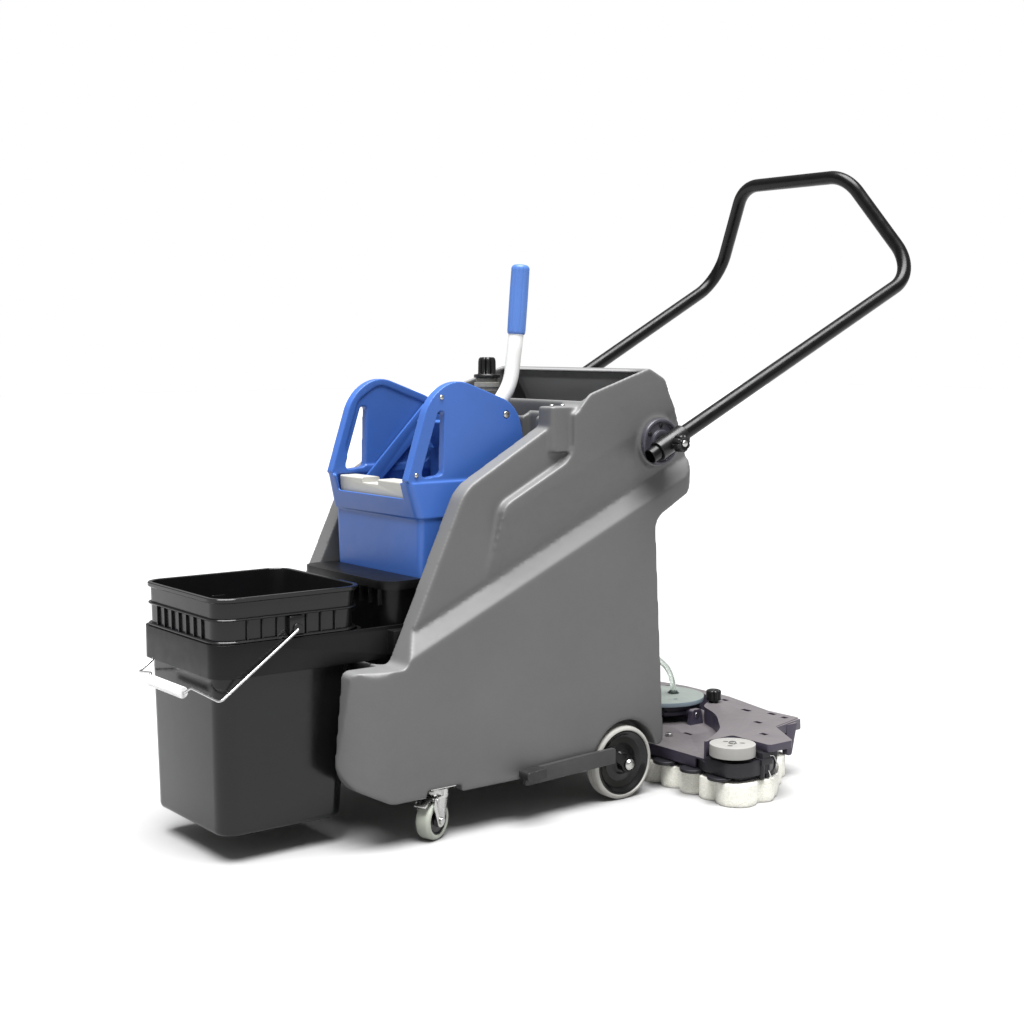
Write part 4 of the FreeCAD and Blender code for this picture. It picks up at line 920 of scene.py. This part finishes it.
def pail_band(low, high, proud):
    """Rounded ridge: loops from its lower to its upper edge."""
    soft = min(1.2, (high - low) / 3)
    return [
        pail_at(low, 0.0), pail_at(low, proud - soft), pail_at(low + soft, proud),
        pail_at(high - soft, proud), pail_at(high, proud - soft), pail_at(high, 0.0),
    ]


def pail_ribs():
    """Upright ribs between the two ridges, on all four walls."""
    x0, x1, half_y = pail_at(354, 3.4)[:3]
    middle = (x0 + x1) / 2
    plans = []
    for i in range(-3, 4):
        low, high = i * RIB_PITCH - RIB_HALF, i * RIB_PITCH + RIB_HALF
        plans.append((middle + low, middle + high, -half_y, RIB_DEPTH - half_y))
        plans.append((middle + low, middle + high, half_y - RIB_DEPTH, half_y))
        plans.append((x0, x0 + RIB_DEPTH, low, high))
        plans.append((x1 - RIB_DEPTH, x1, low, high))
    return [rounded_box("rib", *plan, 339, 371, 0.5) for plan in plans]

def build_front_pail():
    base = PAIL_LOW[3]
    foot = ((0, 9), (0.8, 5), (2.6, 2.2), (5.5, 0.6), (9, 0))
    loops = [pail_at(base + rise, -inset) for rise, inset in foot]
    loops += pail_band(336.2, 340.2, 5.5)
    loops += pail_band(370, 373, 4.5)
    loops += pail_band(397, 404, 4.5)[:-1]
    loops += [pail_at(404, -2.0), pail_at(403, -PAIL_WALL), pail_at(380, -PAIL_WALL)]
    loops += [pail_at(base + 12, -PAIL_WALL)]
    loops += [pail_at(base + 6, -5), pail_at(base + 3, -12)]
    shell = stacked("pail_shell", loops)
    ribs = [shell] + pail_ribs()
    for side in (-1, 1):
        low, high = sorted((side * 122, side * 133.5))
        ribs.append(rounded_box("ear", BAIL_X - 13, BAIL_X + 13, low, high, 341, 369, 1.6))
        boss = turned(((0, 0, 0), (0, 9, 0), (14.5, 8, 1), (14.5, 2.2, 0.4), (8, 2.2, 0), (8, 0, 0)))
        ribs.append(lathe("boss", boss, (BAIL_X, side * 122, BAIL_Z), (0, side, 0), 32))
    whole = joined("front_pail_moulded", ribs)
    shade(whole, 30)
    piece(whole, "front_pail", gloss_black, "pail_black", "front_pail")


def build_bail():
    side = (
        (BAIL_X, -BAIL_Y, BAIL_Z), (-724, -BAIL_Y, 256), (-736, -70, 267), (BAIL_GRIP_X, -58, BAIL_GRIP_Z),
    )
    hook = ((BAIL_X, -129.5, BAIL_Z),) + side
    route = hook + tuple((x, -y, z) for x, y, z in reversed(hook))
    wire = tube("bail_wire_bent", rounded_path(route, 7, 8), 2.0, 0.0, 20)
    piece(wire, "bail", wire_steel, "bail_wire", "bail_wire")
    grip = [(-54, 2.06), (-54, 8.2), (-53, 9), (-49.5, 9), (-48.8, 8.0)]
    for k in range(-4, 5):
        mid = k * 10.5
        grip += [(mid - 4.6, 7.7), (mid - 3.4, 8.7), (mid, 8.9), (mid + 3.4, 8.7), (mid + 4.6, 7.7)]
    grip += [(48.8, 8.0), (49.5, 9), (53, 9), (54, 8.2), (54, 2.06)]
    held = lathe("bail_grip_ribbed", grip, (BAIL_GRIP_X, 0, BAIL_GRIP_Z), (0, 1, 0), 48, closed=True)
    piece(held, "bail", grip_white, "bail_grip", "bail_grip")


# ---- inner pail and wringer ----

CHEEK = (
    (-386, 556.3, 4), (-343, 688, 78), (-292, 721, 60), (-168, 676, 78), (-152, 614, 94), (-162, 556.3, 4),
)
WINDOW = ((-360, 562, 7), (-317, 566, 7), (-313, 668, 5), (-325, 668, 5))


def cut_with(obj, tools):
    for tool in tools:
        mod = obj.modifiers.new("cut", "BOOLEAN")
        mod.operation = "DIFFERENCE"
        mod.solver = "EXACT"
        mod.object = tool
    bake_modifiers(obj)
    for tool in tools:
        bpy.data.objects.remove(tool)
    return obj


def shrunk(outline, centre, k, radius):
    cx, cz = centre
    return tuple((cx + (x - cx) * k, cz + (z - cz) * k, radius) for x, z, _ in outline)


def cheek_shape(side):
    """Side cheek with a shallow inner recess, its open window and the shaft's bore."""
    outer, inner = sorted((side * CHEEK_OUT, side * CHEEK_IN))
    panel = prism("cheek", CHEEK, "y", outer, inner, 0, 12)
    window = prism("w", WINDOW, "y", -200, 200, 0, 6)
    field = shrunk(CHEEK, (-272, 632), 0.84, 30)
    low, high = sorted((side * (CHEEK_IN - 20), side * (CHEEK_IN + CHEEK_RECESS)))
    recess = prism("r", field, "y", low, high, 0, 10)
    hole = ((-60, 0), (-60, 6.1), (60, 6.1), (60, 0))
    bore = lathe("b", hole, (PRESS_X, side * 114, PRESS_Z), (0, 1, 0), 40)
    return cut_with(panel, [window, recess, bore])


def build_wringer():
    piece(dressed("inner_pail", 1.2), "inner_pail", matt_black, "pail_black", "inner_pail")
    basket = joined("wringer_moulding", [cad_copy("wringer_basket"), cheek_shape(-1), cheek_shape(1)])
    melt(basket, 1.5, 6)
    piece(
        basket, "wringer", blue_plastic, "wringer_blue",
        "wringer_basket", "wringer_cheek_left", "wringer_cheek_right",
    )
    screws = []
    for side in (-1, 1):
        for x, z in ((-319, 690), (-368, 568)):
            screws.append(screw_head("s", (x, side * CHEEK_OUT, z), (0, side, 0), 4, 2.6))
    piece(joined("cheek_screw_heads", screws), "wringer", bright_screw, "screw_steel", "cheek_screws")
    piece(dressed("back_plate", 1.8), "wringer", blue_plastic, "wringer_blue", "back_plate")


def build_press():
    profile = turned(((-124, 0, 0), (-123.6, 6, 1.8), (123.6, 6, 1.8), (124, 0, 0)))
    shaft = lathe("press_axle", profile, (PRESS_X, 0, PRESS_Z), (0, 1, 0), 40)
    piece(shaft, "press", bright_screw, "axle_steel", "press_shaft")
    piece(dressed("press_arms", 1.6), "press", blue_plastic, "wringer_blue", "press_arms")
    piece(dressed("press_plate", 1.6), "press", white_plastic, "press_white", "press_plate")
    route = ((PRESS_X, LEVER_Y, PRESS_Z), (-152, LEVER_Y, 708), (-140, LEVER_Y, 790), (-135, LEVER_Y, 850))
    pole = tube("pole", rounded_path(route, 80, 12), LEVER_TUBE_R, 0, 48)
    collar = turned(((-9, 6.1, 0), (-9, 15, 2), (9, 15, 2), (9, 6.1, 0)), 5)
    hub = lathe("hub", collar, (PRESS_X, LEVER_Y, PRESS_Z), (0, 1, 0), 64, closed=True)
    piece(joined("press_lever_pole", [pole, hub]), "press", lever_enamel, "lever_pale", "lever_tube")
    length = GRIP_LENGTH
    profile = [(0, 12.7), (0, 13.4), (1.5, 14.6), (4, 15.0)]
    profile += [(6 + k * (length - 16) / 12, 15.2 + 0.3 * math.sin(math.pi * k / 12)) for k in range(13)]
    profile += [(length - 6, 15.2), (length - 2.6, 13.6), (length - 0.8, 11), (length, 7), (length, 0)]
    grip = lathe(
        "press_lever_grip", profile, (-140, LEVER_Y, 790), (9.6, 0, 115), 96,
        fluted(12, 0.7, tuple(range(4, 17)), 96),
    )
    piece(grip, "press", grip_blue, "lever_grip", "lever_grip")


# ---- scrub deck ----

def build_deck_bolts():
    """Roller bolts with their shanks, and the two bolts on the front ledge."""
    top = ROLLER_TOP + 0.4
    shank = turned(((50, 0, 0), (50, 5, 0.6), (top, 5, 0), (top, 0, 0)))
    heads = [hex_bolt("b", (ROLLER_X, s * ROLLER_Y, ROLLER_TOP + 0.3), (0, 0, 1), 7, 2.7) for s in (-1, 1)]
    shanks = [lathe("k", shank, (ROLLER_X, s * ROLLER_Y, 0), (0, 0, 1), 32) for s in (-1, 1)]
    piece(joined("roller_pins", heads + shanks), "deck", bright_screw, "screw_steel", "roller_bolts")
    x, y, z = LEDGE_BOLT
    ledge = [hex_bolt("l", (x, s * y, z), (0, 0, 1), 7, 6) for s in (-1, 1)]
    piece(joined("ledge_bolt_heads", ledge), "deck", bright_screw, "screw_steel")

def build_deck():
    piece(dressed("deck_shell", 0.7, 2), "deck", deck_grey, "deck_grey", "deck_shell")
    piece(dressed("deck_base", 1.5), "deck", base_black, "base_black", "deck_base")
    piece(dressed("pad_buttons", 1.5), "deck", base_black, "base_black", "pad_buttons")
    piece(dressed("roller_brackets", 2.5, 4), "deck", base_black, "base_black", "roller_brackets")
    piece(dressed("deck_posts", 1.2), "deck", base_black, "base_black", "deck_posts")
    piece(dressed("spring_clips", 0.0), "deck", wire_steel, "clip_wire", "spring_clips")
    build_deck_bolts()
    for name, _ in SIDES:
        node = "bumper_roller_" + name
        piece(dressed(node, 2.4, 4), node, roller_grey, "roller_grey", node)
    knob_profile = [
        (0, 0), (0, 9), (4, 9), (4.3, 13.2), (5.5, 14.5), (20, 14.5), (22.4, 13.2), (23.8, 10.4), (23.9, 0),
    ]
    flutes = fluted(8, 2.2, (4, 5, 6), 96)
    knob = lathe("deck_knob_fluted", knob_profile, (KNOB_X, KNOB_Y, DECK_TOP + 0.1), (0, 0, 1), 96, flutes)
    piece(knob, "deck_knob", knob_black, "knob_black", "deck_knob")
    build_pad()


def build_pad():
    """Open nylon pad: remeshed so its cut edges soften, then roughened."""
    pad = moulded("scrub_pad", 2.2, 6)
    pad.name = "scrub_pad_web"
    texture = bpy.data.textures.new("web_lumps", "CLOUDS")
    texture.noise_scale = 0.006
    mod = pad.modifiers.new("lumps", "DISPLACE")
    mod.texture = texture
    mod.texture_coords = "LOCAL"
    mod.mid_level = 0.85
    mod.strength = 0.0007
    bake_modifiers(pad)
    pad.data.shade_smooth()
    piece(pad, "deck", pad_web, "pad_cream", "scrub_pad")


# ---- stage, light and camera ----

def build_stage():
    """Pale floor, one broad key light and an even surround that shows white."""
    bpy.ops.mesh.primitive_plane_add(size=40, location=(0, 0, 0))
    floor = bpy.context.object
    floor.name = "studio_floor"
    p = Paint("studio_floor")
    p.set("Base Color", p.mix(p.noise(3.0, 2.0), (0.37, 0.37, 0.37, 1), (0.39, 0.39, 0.39, 1)))
    p.set("Roughness", 0.9)
    p.set("Specular IOR Level", 0.1)
    floor.data.materials.append(p.done())
    lights = [soft_sun("key_soft", KEY_WAY, KEY_STRENGTH, KEY_SPREAD)]
    world = bpy.data.worlds.new("studio")
    bpy.context.scene.world = world
    world.use_nodes = True
    nodes, links = world.node_tree.nodes, world.node_tree.links
    fill = nodes["Background"]
    fill.inputs["Strength"].default_value = FILL_STRENGTH
    white = nodes.new("ShaderNodeBackground")
    white.inputs["Strength"].default_value = 1.0
    seen = nodes.new("ShaderNodeMixShader")
    links.new(nodes.new("ShaderNodeLightPath").outputs["Is Camera Ray"], seen.inputs[0])
    links.new(fill.outputs[0], seen.inputs[1])
    links.new(white.outputs[0], seen.inputs[2])
    links.new(seen.outputs[0], nodes["World Output"].inputs[0])
    for back in (fill, white):
        back.inputs["Color"].default_value = (1, 1, 1, 1)


def soft_sun(name, towards, strength, spread):
    """A broad distant key; spread is its apparent width in degrees."""
    data = bpy.data.lights.new(name, "SUN")
    data.energy = strength
    data.angle = math.radians(spread)
    lamp = bpy.data.objects.new(name, data)
    bpy.context.scene.collection.objects.link(lamp)
    lamp.location = Vector(towards) * 4
    lamp.rotation_euler = Vector(towards).to_track_quat("Z", "Y").to_euler()
    return lamp


def build_camera():
    data = bpy.data.cameras.new("camera")
    data.lens = CAMERA_LENS
    data.sensor_width = 36.0
    cam = bpy.data.objects.new("camera", data)
    bpy.context.scene.collection.objects.link(cam)
    cam.location = CAMERA_AT
    yaw = math.radians(CAMERA_YAW)
    pitch = math.radians(CAMERA_PITCH)
    way = Vector((math.sin(yaw) * math.cos(pitch), math.cos(yaw) * math.cos(pitch), -math.sin(pitch)))
    cam.rotation_euler = way.to_track_quat("-Z", "Y").to_euler()
    bpy.context.scene.camera = cam
    bpy.context.scene.view_settings.view_transform = "Standard"


build_screws()
build_body()
build_tube()
build_handle()
for wheel_name, wheel_side in SIDES:
    build_rear_wheel(wheel_name, wheel_side)
    build_caster(wheel_name, wheel_side)
build_lift()
build_front_pail()
build_bail()
build_wringer()
build_press()
build_deck()
build_stage()
build_camera()
